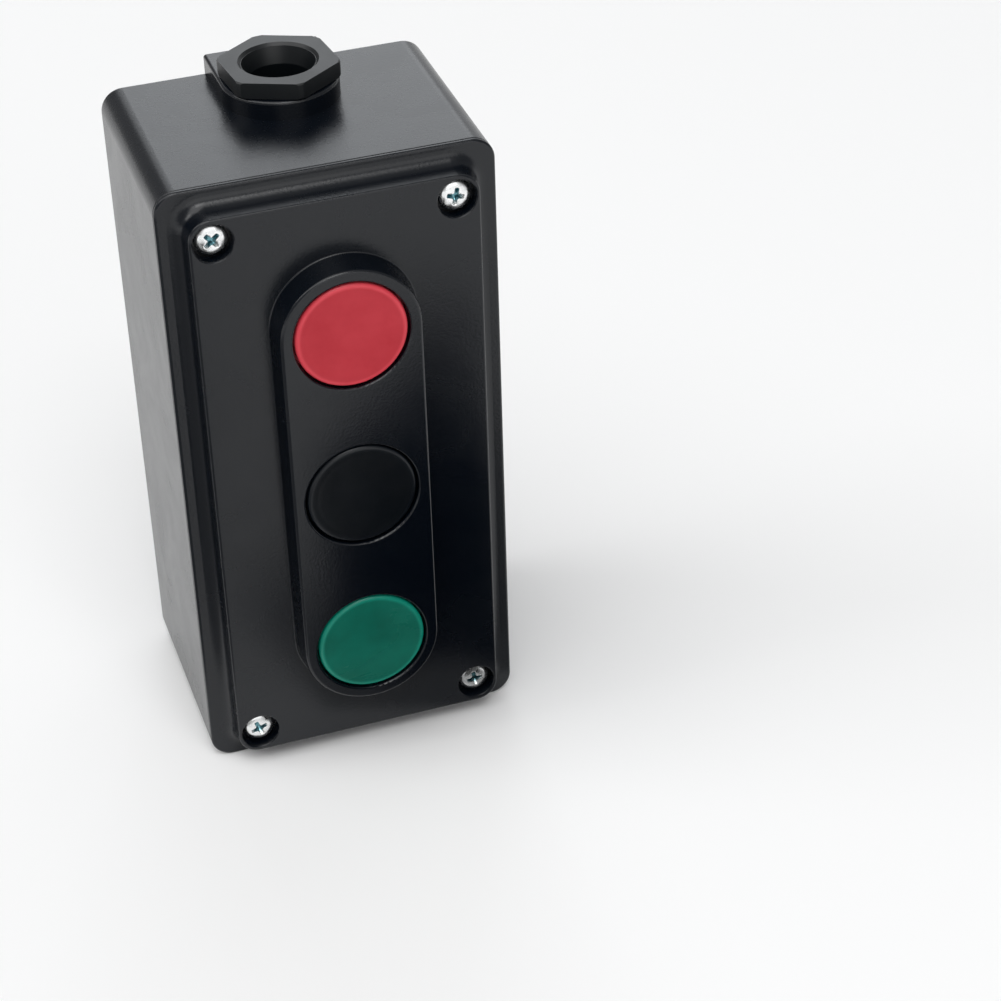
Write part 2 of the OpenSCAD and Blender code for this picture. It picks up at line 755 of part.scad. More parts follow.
module plunger(b) color(DARK_PLASTIC) on_front() translate([0, b[2], 0]) {
    // stem in the cap hub and collar in the block roof
    translate([0, 0, hub_low - 1])
        bevelled_bar(stem_d, cap_under - hub_low + 1 - free_gap - 0.2, 0.4);
    translate([0, 0, cage_top - eps]) cylinder(h = hub_low - cage_top + eps, d = collar_d);
    // cage around the contact bridge
    difference() {
        translate([-cage_x, -cage_y, cage_low]) cube([2 * cage_x, 2 * cage_y, cage_top - cage_low]);
        translate([-cage_x - 1, -cage_y + cage_wall, cage_floor])
            cube([2 * cage_x + 2, 2 * (cage_y - cage_wall), bridge_top - cage_floor]);
    }
}

// Coil spring with closed end turns, standing on zero
function coil_height(t, turns, len, wire) =
    let (closed = 1.1 * wire, open = (len - wire - 2 * closed) / (turns - 2))
    wire / 2 + (t < 1 ? closed * t
        : t > turns - 1 ? len - wire - closed * (turns - t)
        : closed + open * (t - 1));

function coil_ring(t, turns, len, wire, d, sides) =
    let (a = 360 * t, h = coil_height(t, turns, len, wire))
    [for (k = [0:sides - 1])
        let (q = 360 * k / sides, reach = d / 2 + wire / 2 * cos(q))
        [reach * cos(a), reach * sin(a), h + wire / 2 * sin(q)]];

module coil_spring(len, d, wire, turns, steps_per_turn, sides) {
    steps = round(turns * steps_per_turn);
    points = [for (i = [0:steps]) each coil_ring(turns * i / steps, turns, len, wire, d, sides)];
    skin = [for (i = [0:steps - 1], k = [0:sides - 1])
        let (p = i * sides + k, q = i * sides + (k + 1) % sides)
        each [[p, p + sides, q + sides], [p, q + sides, q]]];
    caps = [[for (k = [0:sides - 1]) k], [for (k = [sides - 1:-1:0]) steps * sides + k]];
    polyhedron(points, concat(skin, caps), convexity = 10);
}

module return_spring(b) color(STEEL) on_front() translate([0, b[2], block_top])
    coil_spring(cap_under - block_top, spring_d, spring_wire, spring_turns, 14, 6);

module contact_spring(b) color(STEEL) on_front() translate([0, b[2], cage_floor])
    coil_spring(contact_spring_len, contact_spring_d, contact_wire, contact_turns, 12, 6);

// Contact blocks

module contact_block(b) color(MOULDING_BROWN) on_front() translate([0, b[2], 0]) {
    pocket_x = chamber_x + 1.8;
    difference() {
        union() {
            translate([0, 0, block_low]) linear_extrude(block_d) rounded_rect(block_w, block_l, 1.5);
            at_block_lugs() translate([0, 0, block_top - lug_t]) cylinder(h = lug_t, d = pillar_d + 1.4);
            for (s = [-1, 1]) translate([s * lug_x, s * (lug_y + block_l / 2 - 1) / 2, block_top - lug_t / 2])
                cube([pillar_d + 1.4, lug_y - block_l / 2 + 1, lug_t], center = true);
        }
        // chamber of the plunger cage, open at the back
        translate([-chamber_x, -chamber_y, block_low - 1])
            cube([2 * chamber_x, 2 * chamber_y, roof_under - block_low + 1]);
        translate([0, 0, roof_under - 1]) cylinder(h = block_roof_t + 2, d = collar_d + 2 * guide_gap);
        at_block_lugs() translate([0, 0, block_top - lug_t - 1])
            cylinder(h = lug_t + 2, d = block_screw_d + 0.4);
        for (x = [-1, 1]) {
            terminal_pocket(x, 1, pocket_x, upper_face, upper_top);
            terminal_pocket(x, -1, pocket_x, lower_face, lower_top);
        }
        at_upper_terminals() translate([0, 0, upper_top - 1])
            cylinder(h = 1 + terminal_grip + free_gap, d = terminal_screw_d + 2 * slip);
        at_lower_terminals() translate([0, 0, lower_top - 1])
            cylinder(h = 1 + terminal_grip + screw_tip_room, d = terminal_screw_d + 2 * slip);
    }
}

// The slot of one strip and the space behind it that the terminal screw stands in
module terminal_pocket(x, y, pocket_x, face, top) {
    translate([0, y * strip_y, 0]) {
        translate([min(x * strip_in, x * (strip_out + slip)), -strip_w / 2 - slip, face - eps])
            cube([strip_out + slip - strip_in, strip_w + 2 * slip, top - face + eps]);
        translate([min(x * pocket_x, x * (block_w / 2 + 1)), -strip_w / 2 - slip, block_low - 1])
            cube([block_w / 2 + 1 - pocket_x, strip_w + 2 * slip, face - block_low + 1]);
    }
}

// Moving strip: its front tips meet the upper strips at rest, its back tips
// meet the lower strips when the button is pressed
module contact_bridge(b) color(BRASS) on_front() translate([0, b[2], 0]) {
    translate([-bridge_len / 2, -bridge_w / 2, bridge_low]) cube([bridge_len, bridge_w, bridge_t]);
    for (x = [-1, 1]) {
        translate([x * tip_x, tip_y, bridge_top - eps]) cylinder(h = tip_h + eps, d = tip_d);
        translate([x * tip_x, -tip_y, bridge_low - tip_h]) cylinder(h = tip_h + eps, d = tip_d);
    }
}

// Flat strips from the terminal screws to the bridge
module contact_strip(x, y, face) {
    translate([0, y * strip_y, face]) difference() {
        translate([min(x * strip_in, x * strip_out), -strip_w / 2, 0])
            cube([strip_out - strip_in, strip_w, strip_t]);
        translate([x * terminal_x, 0, -1]) cylinder(h = strip_t + 2, d = terminal_screw_d + 2 * slip);
    }
}

module fixed_contacts(b) color(BRASS) on_front() translate([0, b[2], 0])
    for (x = [-1, 1]) {
        contact_strip(x, 1, upper_face);
        contact_strip(x, -1, lower_face);
    }

module clamp_washer() {
    side = strip_w - 1;
    difference() {
        translate([-side / 2, -side / 2, -clamp_t]) cube([side, side, clamp_t]);
        translate([0, 0, -clamp_t - 1]) cylinder(h = clamp_t + 2, d = terminal_screw_d + 2 * slip);
    }
}

module terminal_clamps(b) color(ZINC) on_front() translate([0, b[2], 0]) {
    at_upper_terminals() translate([0, 0, upper_face]) clamp_washer();
    at_lower_terminals() translate([0, 0, lower_face]) clamp_washer();
}

// The heads look to the back of the box, where the wires arrive
module terminal_screw() {
    rotate([180, 0, 0]) translate([0, 0, clamp_t])
        pan_screw(terminal_screw_d, terminal_head_d, terminal_head_h,
            clamp_t + strip_t + terminal_grip, 0.9);
}

module terminal_screws(b) color(ZINC) on_front() translate([0, b[2], 0]) {
    at_upper_terminals() translate([0, 0, upper_face]) terminal_screw();
    at_lower_terminals() translate([0, 0, lower_face]) terminal_screw();
}

module block_screws(b) color(ZINC) on_front() translate([0, b[2], block_top - lug_t])
    at_block_lugs() rotate([180, 0, 0])
        pan_screw(block_screw_d, block_screw_head_d, block_screw_head_h, block_screw_len, 0.8);

housing();
threaded_inserts();
cover_gasket();
cover();
cover_screws();
gland_seal_ring();
gland_washer();
gland_nut();
for (b = BUTTONS) {
    button_cap(b);
    button_seal(b);
    plunger(b);
    return_spring(b);
    contact_block(b);
    contact_bridge(b);
    contact_spring(b);
    fixed_contacts(b);
    terminal_clamps(b);
    terminal_screws(b);
    block_screws(b);
}
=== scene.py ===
"""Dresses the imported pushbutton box: black shell, coloured caps, plated screws and the works inside."""

import logging
import math
from dataclasses import dataclass
from enum import Enum

import bmesh
import bpy
from bpy.types import Material, Mesh, Node, NodeOutputs, NodeTree, Object
from bpy.types import NodeSocket as Socket
from mathutils import Matrix, Vector


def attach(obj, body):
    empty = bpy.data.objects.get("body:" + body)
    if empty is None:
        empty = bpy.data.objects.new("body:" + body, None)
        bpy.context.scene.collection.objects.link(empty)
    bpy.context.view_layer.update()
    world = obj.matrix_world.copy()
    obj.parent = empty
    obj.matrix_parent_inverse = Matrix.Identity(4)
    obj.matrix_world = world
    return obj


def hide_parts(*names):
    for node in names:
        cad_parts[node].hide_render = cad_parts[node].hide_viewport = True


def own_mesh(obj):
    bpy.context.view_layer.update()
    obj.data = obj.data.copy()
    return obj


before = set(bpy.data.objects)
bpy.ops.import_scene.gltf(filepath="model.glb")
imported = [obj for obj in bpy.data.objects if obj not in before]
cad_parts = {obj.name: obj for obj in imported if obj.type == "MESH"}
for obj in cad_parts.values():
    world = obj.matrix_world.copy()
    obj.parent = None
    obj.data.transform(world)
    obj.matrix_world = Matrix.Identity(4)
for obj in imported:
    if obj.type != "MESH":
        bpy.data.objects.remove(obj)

LOG = logging.getLogger("pushbutton_box")
MM = 0.001
FULL_TURN = 2 * math.pi
EIGHTH_TURN = math.pi / 4
Colour = tuple[float, float, float]
Point = tuple[float, float, float]
Pair = tuple[float, float]
Ring = list[Vector]
Plugs = dict[str | int, object]
WHITE: Colour = (1.0, 1.0, 1.0)
COOL_WHITE: Colour = (0.93, 0.965, 1.0)

# Nearly every value of a noise texture lies between these two
NOISE_LOW = 0.3
NOISE_HIGH = 0.7


class Slot(Enum):
    """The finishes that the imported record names."""

    HOUSING = "housing_plastic"
    RED_CAP = "red_cap"
    BLACK_CAP = "black_cap"
    GREEN_CAP = "green_cap"
    RUBBER = "rubber"
    ZINC = "zinc"
    STEEL = "steel"
    BRASS = "brass"
    PLUNGER = "plunger_plastic"
    BLOCK = "block_plastic"


class Sheet:
    """Adds and links the nodes of one node tree."""

    def __init__(self, tree: NodeTree) -> None:
        """Keep the tree that the nodes go into."""
        self.tree = tree

    def feed(self, node: Node, plugs: Plugs) -> None:
        """Set inputs of a node.

        Args:
            node: The node.
            plugs: A value, or the output of another node, for each input that is set.
        """
        for key, value in plugs.items():
            if isinstance(value, Socket):
                self.tree.links.new(value, node.inputs[key])
            else:
                node.inputs[key].default_value = value

    def add(self, kind: str, plugs: Plugs | None = None, **settings: object) -> Node:
        """Add one node.

        Args:
            kind: Blender's name of the node type.
            plugs: What its inputs are set to.
            settings: Attributes of the node.

        Returns:
            The new node.
        """
        node = self.tree.nodes.new(kind)
        for name, value in settings.items():
            setattr(node, name, value)
        self.feed(node, plugs or {})
        return node

    def group(self, tree: NodeTree, **plugs: object) -> NodeOutputs:
        """Add a group and return its outputs; an input named Grain_Size here is Grain Size there."""
        named = {name.replace("_", " "): value for name, value in plugs.items()}
        return self.add("ShaderNodeGroup", named, node_tree=tree).outputs

    def math(self, operation: str, *terms: object, clamp: bool = False) -> Socket:
        """Return the result of a Math node on the terms."""
        node = self.add("ShaderNodeMath", dict(enumerate(terms)), operation=operation, use_clamp=clamp)
        return node.outputs[0]

    def plus(self, first: object, second: object) -> Socket:
        """Return the sum of two values."""
        return self.math("ADD", first, second)

    def minus(self, first: object, second: object) -> Socket:
        """Return the first value less the second."""
        return self.math("SUBTRACT", first, second)

    def times(self, first: object, second: object) -> Socket:
        """Return the product of two values."""
        return self.math("MULTIPLY", first, second)

    def measure(self, operation: str, *terms: object) -> Socket:
        """Return the number that a Vector Math node makes of the terms."""
        node = self.add("ShaderNodeVectorMath", dict(enumerate(terms)), operation=operation)
        return node.outputs["Value"]

    def enlarge(self, place: Socket, size: object) -> Socket:
        """Return the place divided by a size, so that one cell of a pattern is that large."""
        plugs = {0: place, "Scale": self.math("DIVIDE", 1.0, size)}
        return self.add("ShaderNodeVectorMath", plugs, operation="SCALE").outputs["Vector"]

    def noise(self, place: Socket, detail: float = 2.0, roughness: float = 0.5, scale: float = 1.0,
              distortion: float = 0.0) -> Socket:
        """Return the value of a Noise Texture at a place."""
        plugs = {"Vector": place, "Scale": scale, "Detail": detail, "Roughness": roughness,
                 "Distortion": distortion}
        return self.add("ShaderNodeTexNoise", plugs).outputs[0]

    def spread(self, value: Socket, low: object = NOISE_LOW, high: object = NOISE_HIGH,
               to_low: object = 0.0, to_high: object = 1.0, smooth: bool = False) -> Socket:
        """Carry a value from one range to another and hold it at the ends.

        Args:
            value: The value.
            low: Start of its own range.
            high: End of its own range.
            to_low: What the start becomes.
            to_high: What the end becomes.
            smooth: Whether the way between them eases in and out.

        Returns:
            The new value.
        """
        plugs = {"Value": value, "From Min": low, "From Max": high, "To Min": to_low, "To Max": to_high}
        way = "SMOOTHSTEP" if smooth else "LINEAR"
        return self.add("ShaderNodeMapRange", plugs, interpolation_type=way).outputs["Result"]

    def tint(self, share: object, first: object, second: object) -> Socket:
        """Return the first colour turned into the second by a share."""
        plugs = {0: share, 6: rgba(first), 7: rgba(second)}
        return self.add("ShaderNodeMix", plugs, data_type="RGBA").outputs[2]

    def bump(self, height: Socket, depth: float) -> Socket:
        """Return the normal of a surface that a height of some depth roughens."""
        return self.add("ShaderNodeBump", {"Height": height, "Distance": depth}).outputs["Normal"]


def rgba(colour: object) -> object:
    """Return a colour with an alpha of one, and a socket as it is."""
    return (*colour, 1.0) if isinstance(colour, tuple) else colour


def new_group(name: str, kind: str, inputs: dict[str, float | int | str],
              outputs: dict[str, str]) -> tuple[Sheet, NodeOutputs, Node]:
    """Start a node group with named sockets.

    Args:
        name: Name of the group.
        kind: ShaderNodeTree or GeometryNodeTree.
        inputs: Default value of each input, or the sort of an input without one.
        outputs: Sort of each output.

    Returns:
        The sheet, what the group is given and the node that takes its results.
    """
    tree = bpy.data.node_groups.new(name, kind)
    for socket, value in inputs.items():
        sort = value if isinstance(value, str) else "Int" if isinstance(value, int) else "Float"
        made = tree.interface.new_socket(socket, in_out="INPUT", socket_type=f"NodeSocket{sort}")
        if sort != value:
            made.default_value = value
    for socket, sort in outputs.items():
        tree.interface.new_socket(socket, in_out="OUTPUT", socket_type=f"NodeSocket{sort}")
    sheet = Sheet(tree)
    return sheet, sheet.add("NodeGroupInput").outputs, sheet.add("NodeGroupOutput")


class Effects:
    """Shader groups that several finishes share."""

    def __init__(self) -> None:
        """Build every group once."""
        self.grain = self._grain()
        self.edges = self._edges()
        self.dust = self._dust()
        self.handling = self._handling()

    @staticmethod
    def _grain() -> NodeTree:
        """Return the fine spark-eroded grain of a mould: its height and a slow mottle."""
        sheet, given, result = new_group(
            "Mould Grain", "ShaderNodeTree", {"Vector": "Vector", "Grain Size": 0.4 * MM, "Pit Share": 0.4},
            {"Height": "Float", "Mottle": "Float"})
        place = sheet.enlarge(given["Vector"], given["Grain Size"])
        bumps = sheet.noise(place, detail=3.0, roughness=0.6)
        pits = sheet.add("ShaderNodeTexVoronoi", {"Vector": place, "Scale": 0.8, "Smoothness": 0.6},
                         feature="SMOOTH_F1")
        hollow = sheet.spread(pits.outputs["Distance"], low=0.0)
        height = sheet.plus(sheet.times(bumps, sheet.minus(1.0, given["Pit Share"])),
                            sheet.times(hollow, given["Pit Share"]))
        mottle = sheet.noise(place, detail=4.0, roughness=0.6, scale=0.035)
        sheet.feed(result, {"Height": height, "Mottle": mottle})
        return sheet.tree

    @staticmethod
    def _edges() -> NodeTree:
        """Return the mask of edges that hands and cloths have polished."""
        sheet, given, result = new_group(
            "Polished Edges", "ShaderNodeTree",
            {"Vector": "Vector", "Radius": 0.5 * MM, "Patch Size": 9.0 * MM}, {"Mask": "Float"})
        rounded = sheet.add("ShaderNodeBevel", {"Radius": given["Radius"]}, samples=4)
        flat = sheet.add("ShaderNodeNewGeometry")
        turn = sheet.measure("DOT_PRODUCT", rounded.outputs[0], flat.outputs["Normal"])
        edge = sheet.spread(turn, low=0.995, high=0.9, smooth=True)
        patches = sheet.noise(sheet.enlarge(given["Vector"], given["Patch Size"]), detail=5.0)
        sheet.feed(result, {"Mask": sheet.times(edge, sheet.spread(patches, low=0.35))})
        return sheet.tree

    @staticmethod
    def _dust() -> NodeTree:
        """Return the mask of the fine dust that settles on what faces up: lone specks in a thin film."""
        sheet, given, result = new_group(
            "Settled Dust", "ShaderNodeTree",
            {"Vector": "Vector", "Speck Size": 0.5 * MM, "Film Size": 14.0 * MM, "Film Share": 0.25},
            {"Mask": "Float"})
        flat = sheet.add("ShaderNodeNewGeometry")
        up = sheet.add("ShaderNodeSeparateXYZ", {0: flat.outputs["Normal"]}).outputs["Z"]
        specks = sheet.noise(sheet.enlarge(given["Vector"], given["Speck Size"]), detail=1.0)
        veil = sheet.noise(sheet.enlarge(given["Vector"], given["Film Size"]), detail=4.0)
        film = sheet.times(sheet.spread(veil, high=0.8), given["Film Share"])
        lying = sheet.math("ADD", sheet.spread(specks, low=0.7, high=0.8), film, clamp=True)
        sheet.feed(result, {"Mask": sheet.times(lying, sheet.spread(up, low=0.2, high=0.95, smooth=True))})
        return sheet.tree

    @staticmethod
    def _handling() -> NodeTree:
        """Return a slow value that tells where a surface was wiped or touched."""
        sheet, given, result = new_group(
            "Handling", "ShaderNodeTree", {"Vector": "Vector", "Size": 18.0 * MM}, {"Value": "Float"})
        place = sheet.enlarge(given["Vector"], given["Size"])
        wipes = sheet.noise(place, detail=5.0, roughness=0.55, distortion=1.2)
        sheet.feed(result, {"Value": sheet.spread(wipes, smooth=True)})
        return sheet.tree


def new_material(name: str, look: Colour) -> tuple[Material, Sheet, Node]:
    """Start a material.

    Args:
        name: Name of the material.
        look: Colour for the viewport.

    Returns:
        The material, its sheet and its Principled shader.
    """
    material = bpy.data.materials.new(name)
    material.use_nodes = True
    material.diffuse_color = rgba(look)
    return material, Sheet(material.node_tree), material.node_tree.nodes["Principled BSDF"]


@dataclass(frozen=True)
class MouldedPlastic:
    """Plastic with the grain of its mould, polished at its edges and lightly dusty on top; on a cap, a
    painted highlight pales its rim.
    """

    name: str
    colour: Colour
    # The second colour serves the mottle and the polished edges, and on a cap also the painted highlight of
    # its rim.
    polished: Colour
    roughness: Pair = (0.25, 0.35)
    wiped_share: float = 0.6
    grain_size: float = 0.4 * MM
    grain_depth: float = 0.01 * MM
    pits: float = 0.4
    mottle_tint: float = 0.3
    dust: float = 0.02
    dust_colour: Colour = (0.6, 0.59, 0.57)
    dust_dullness: float = 0.1
    edge_radius: float = 0.4 * MM
    edge_tint: float = 0.5
    edge_gloss: float = 0.06
    # How strongly the painted highlight pales a cap's rim.
    rim_highlight_tint: float = 0.0
    ior: float = 1.5

    def make(self, effects: Effects) -> Material:
        """Build the material.

        Args:
            effects: The shared groups.

        Returns:
            The material.
        """
        material, sheet, shader = new_material(self.name, self.colour)
        place = sheet.add("ShaderNodeTexCoord").outputs["Object"]
        grain = sheet.group(effects.grain, Vector=place, Grain_Size=self.grain_size, Pit_Share=self.pits)
        mottle = grain["Mottle"]
        edge = sheet.group(effects.edges, Vector=place, Radius=self.edge_radius)["Mask"]
        dust = sheet.group(effects.dust, Vector=place)["Mask"]
        touch = sheet.group(effects.handling, Vector=place)["Value"]
        share = sheet.plus(sheet.spread(mottle, to_high=self.mottle_tint), sheet.times(edge, self.edge_tint))
        # Painted highlight: the cap's rim is paled towards the second colour, where light would catch its
        # rounding.
        if self.rim_highlight_tint:
            rim = sheet.add("ShaderNodeAttribute", attribute_name="rim").outputs["Fac"]
            share = sheet.plus(share, sheet.times(rim, self.rim_highlight_tint))
        body = sheet.tint(sheet.math("MINIMUM", share, 1.0), self.colour, self.polished)
        dusty = sheet.tint(sheet.times(dust, self.dust), body, self.dust_colour)
        slow = sheet.plus(sheet.times(touch, self.wiped_share), sheet.times(mottle, 1 - self.wiped_share))
        dulled = sheet.spread(slow, 0.0, 1.0, *self.roughness)
        skin = sheet.minus(dulled, sheet.times(edge, self.edge_gloss))
        sheet.feed(shader, {
            "Base Color": dusty, "IOR": self.ior, "Normal": sheet.bump(grain["Height"], self.grain_depth),
            "Roughness": sheet.plus(skin, sheet.times(dust, self.dust_dullness))})
        return material


@dataclass(frozen=True)
class SoftRubber:
    """Black rubber with a dull, slightly bloomed skin."""

    name: str
    colour: Colour = (0.010, 0.010, 0.011)
    bloom: Colour = (0.035, 0.034, 0.033)
    bloom_tint: float = 0.6
    bloom_size: float = 6.0 * MM
    roughness: Pair = (0.52, 0.68)
    grain_size: float = 0.25 * MM
    grain_depth: float = 0.006 * MM
    pits: float = 0.2

    def make(self, effects: Effects) -> Material:
        """Build the material.

        Args:
            effects: The shared groups.

        Returns:
            The material.
        """
        material, sheet, shader = new_material(self.name, self.colour)
        place = sheet.add("ShaderNodeTexCoord").outputs["Object"]
        grain = sheet.group(effects.grain, Vector=place, Grain_Size=self.grain_size, Pit_Share=self.pits)
        touch = sheet.group(effects.handling, Vector=place, Size=self.bloom_size)["Value"]
        sheet.feed(shader, {
            "Base Color": sheet.tint(sheet.times(touch, self.bloom_tint), self.colour, self.bloom),
            "Roughness": sheet.spread(grain["Mottle"], NOISE_LOW, NOISE_HIGH, *self.roughness),
            "Normal": sheet.bump(grain["Height"], self.grain_depth)})
        return material


@dataclass(frozen=True)
class Metal:
    """Plain or plated metal with fine tool marks and a thin tarnish."""

    name: str
    colour: Colour
    tarnish: Colour
    tarnish_tint: float = 0.7
    tarnish_size: float = 4.0 * MM
    roughness: Pair = (0.19, 0.35)
    mark_size: float = 0.15 * MM
    mark_depth: float = 0.004 * MM
    pits: float = 0.1
    edge_radius: float = 0.15 * MM

    def make(self, effects: Effects) -> Material:
        """Build the material.

        Args:
            effects: The shared groups.

        Returns:
            The material.
        """
        material, sheet, shader = new_material(self.name, self.colour)
        place = sheet.add("ShaderNodeTexCoord").outputs["Object"]
        marks = sheet.group(effects.grain, Vector=place, Grain_Size=self.mark_size, Pit_Share=self.pits)
        age = sheet.group(effects.handling, Vector=place, Size=self.tarnish_size)["Value"]
        edge = sheet.group(effects.edges, Vector=place, Radius=self.edge_radius)["Mask"]
        dull = sheet.times(age, sheet.minus(1.0, edge))
        sheet.feed(shader, {
            "Base Color": sheet.tint(sheet.times(dull, self.tarnish_tint), self.colour, self.tarnish),
            "Roughness": sheet.spread(dull, 0.0, 1.0, *self.roughness), "Metallic": 1.0,
            "Normal": sheet.bump(marks["Height"], self.mark_depth)})
        return material


@dataclass(frozen=True)
class ScrewPlating:
    """Bright zinc on a pressed screw: rings from the tool on its head, painted blue-green shade deeper in
    the cross.
    """

    name: str
    colour: Colour = (0.95, 0.96, 0.96)
    # Painted shade, dark blue-green, deep in the cross recess.
    recess_shade: Colour = (0.14, 0.30, 0.34)
    dull: Colour = (0.78, 0.80, 0.80)
    dull_tint: float = 0.5
    blot_size: float = 2.2 * MM
    roughness: Pair = (0.15, 0.32)
    ring_pitch: float = 0.22 * MM
    ring_share: float = 0.25
    grain_size: float = 0.12 * MM
    pits: float = 0.3
    relief: float = 0.006 * MM
    head_top: float = 2.4 * MM
    shade_from: float = 0.35 * MM
    shade_by: float = 1.1 * MM
    cross_room: float = 2.2 * MM
    cross_fade: float = 0.4 * MM

    def make(self, effects: Effects) -> Material:
        """Build the material, which reads each screw's own place from an attribute.

        Args:
            effects: The shared groups.

        Returns:
            The material.
        """
        material, sheet, shader = new_material(self.name, self.colour)
        own = sheet.add("ShaderNodeAttribute", attribute_name="own_place").outputs["Vector"]
        split = sheet.add("ShaderNodeSeparateXYZ", {0: own}).outputs
        across = sheet.add("ShaderNodeCombineXYZ", {"X": split["X"], "Y": split["Y"]}).outputs[0]
        reach = sheet.measure("LENGTH", across)
        rings = sheet.math("SINE", sheet.times(reach, FULL_TURN / self.ring_pitch))
        blot = sheet.group(effects.handling, Vector=own, Size=self.blot_size)["Value"]
        grain = sheet.group(effects.grain, Vector=own, Grain_Size=self.grain_size, Pit_Share=self.pits)
        # Painted shade: from some depth below the head's top, inside the cross, the colour turns dark
        # blue-green.
        depth = sheet.spread(split["Z"], self.head_top - self.shade_from, self.head_top - self.shade_by)
        inside = sheet.spread(reach, self.cross_room + self.cross_fade, self.cross_room)
        face = sheet.tint(sheet.times(blot, self.dull_tint), self.colour, self.dull)
        height = sheet.plus(sheet.times(rings, self.ring_share), grain["Height"])
        sheet.feed(shader, {
            "Base Color": sheet.tint(sheet.times(depth, inside), face, self.recess_shade),
            "Roughness": sheet.spread(blot, 0.0, 1.0, *self.roughness), "Metallic": 1.0,
            "Normal": sheet.bump(height, self.relief)})
        return material


def cap_plastic(name: str, colour: Colour, rim: Colour, roughness: Pair) -> MouldedPlastic:
    """Return the fine plastic of a button cap, whose rim colour is a painted highlight at its rim."""
    return MouldedPlastic(name, colour, rim, roughness=roughness, rim_highlight_tint=0.8, grain_size=0.3 * MM,
                          grain_depth=0.005 * MM, dust=0.01, ior=1.44)


FINISHES = {
    Slot.HOUSING: MouldedPlastic(
        "Housing Black", (0.0004, 0.0020, 0.0050), (0.0022, 0.0038, 0.0070), roughness=(0.23, 0.29),
        grain_size=0.5 * MM, grain_depth=0.02 * MM, dust=0.01),
    # The second colour of each cap is the painted highlight of its rim, as well as its polish and mottle.
    Slot.RED_CAP: cap_plastic("Cap Red", (0.42, 0.005, 0.017), (0.66, 0.050, 0.072), (0.29, 0.39)),
    Slot.BLACK_CAP: cap_plastic("Cap Black", (0.0006, 0.0018, 0.0036), (0.003, 0.005, 0.008), (0.27, 0.37)),
    Slot.GREEN_CAP: cap_plastic("Cap Green", (0.0003, 0.092, 0.062), (0.002, 0.210, 0.145), (0.21, 0.31)),
    Slot.RUBBER: SoftRubber("Seal Rubber"),
    Slot.ZINC: Metal("Zinc Plate", (0.80, 0.82, 0.82), (0.56, 0.58, 0.57)),
    Slot.STEEL: Metal("Spring Steel", (0.60, 0.61, 0.62), (0.30, 0.29, 0.29), roughness=(0.24, 0.40)),
    Slot.BRASS: Metal("Brass", (0.78, 0.56, 0.24), (0.42, 0.27, 0.11), roughness=(0.22, 0.38)),
    Slot.PLUNGER: MouldedPlastic(
        "Plunger Grey", (0.045, 0.046, 0.048), (0.09, 0.09, 0.09), roughness=(0.37, 0.47),
        grain_size=0.3 * MM, dust=0.0),
    Slot.BLOCK: MouldedPlastic(
        "Block Brown", (0.055, 0.022, 0.012), (0.11, 0.05, 0.03), roughness=(0.41, 0.51),
        grain_size=0.35 * MM, grain_depth=0.014 * MM, dust=0.0),
}


def stand(name: str, data: object) -> Object:
    """Put a mesh, a lamp or a camera into the scene as an object."""
    made = bpy.data.objects.new(name, data)
    bpy.context.scene.collection.objects.link(made)
    return made


class Workshop:
    """Holds the made materials and helps every sub-assembly to make and place its pieces."""

    def __init__(self) -> None:
        """Make the shared effects, the trees and one material for each slot of the record."""
        self.effects = Effects()
        self.materials = {slot: finish.make(self.effects) for slot, finish in FINISHES.items()}
        self.screw_plating = ScrewPlating("Screw Zinc").make(self.effects)
        self.spring_tree = coil_spring_tree()
        self.screw_tree = placed_screw_tree()

    def dress(self, *nodes: str) -> None:
        """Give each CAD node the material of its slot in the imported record."""
        for node in nodes:
            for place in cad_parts[node].material_slots:
                slot = Slot(place.material.name.split(".")[0])
                place.material = self.materials[slot]
                LOG.info("%s: dressed as %s", node, slot.value)

    def piece(self, name: str, body: str, slot: Slot, mesh: Mesh, *nodes: str) -> Object:
        """Turn a finished mesh into a piece of the object.

        Args:
            name: Name of the piece.
            body: CAD body that it moves with.
            slot: Slot of the record for its finish.
            mesh: The mesh, in its place.
            nodes: CAD nodes that it stands for.

        Returns:
            The piece's object.
        """
        mesh.name = name
        made = stand(name, mesh)
        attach(made, body)
        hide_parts(*nodes)
        LOG.info("%s: made in %s, moves with %s", name, slot.value, body)
        return made


def run_tree(tree: NodeTree, base: Mesh, inputs: dict[str, object]) -> Mesh:
    """Run a Geometry Nodes tree and keep its result as a plain mesh.

    Args:
        tree: The tree.
        base: Mesh that the tree is given.
        inputs: Value for each named input.

    Returns:
        The resulting mesh.
    """
    carrier = stand("carrier", base)
    modifier = carrier.modifiers.new("tree", "NODES")
    modifier.node_group = tree
    keys = {item.name: item.identifier for item in tree.interface.items_tree if item.in_out == "INPUT"}
    for name, value in inputs.items():
        modifier[keys[name]] = value
    graph = bpy.context.evaluated_depsgraph_get()
    mesh = bpy.data.meshes.new_from_object(carrier.evaluated_get(graph), depsgraph=graph)
    carrier.modifiers.remove(modifier)
    bpy.data.objects.remove(carrier)
    return mesh


def close_tree(sheet: Sheet, geometry: Socket, material: Socket, result: Node) -> NodeTree:
    """End a geometry tree: make its instances real and set its material.

    Args:
        sheet: The tree's sheet.
        geometry: What was built.
        material: The material that it gets.
        result: The tree's last node.

    Returns:
        The tree.
    """
    plain = sheet.add("GeometryNodeRealizeInstances", {0: geometry}).outputs[0]
    dressed = sheet.add("GeometryNodeSetMaterial", {"Geometry": plain, "Material": material})
    sheet.feed(result, {0: dressed.outputs[0]})
    return sheet.tree


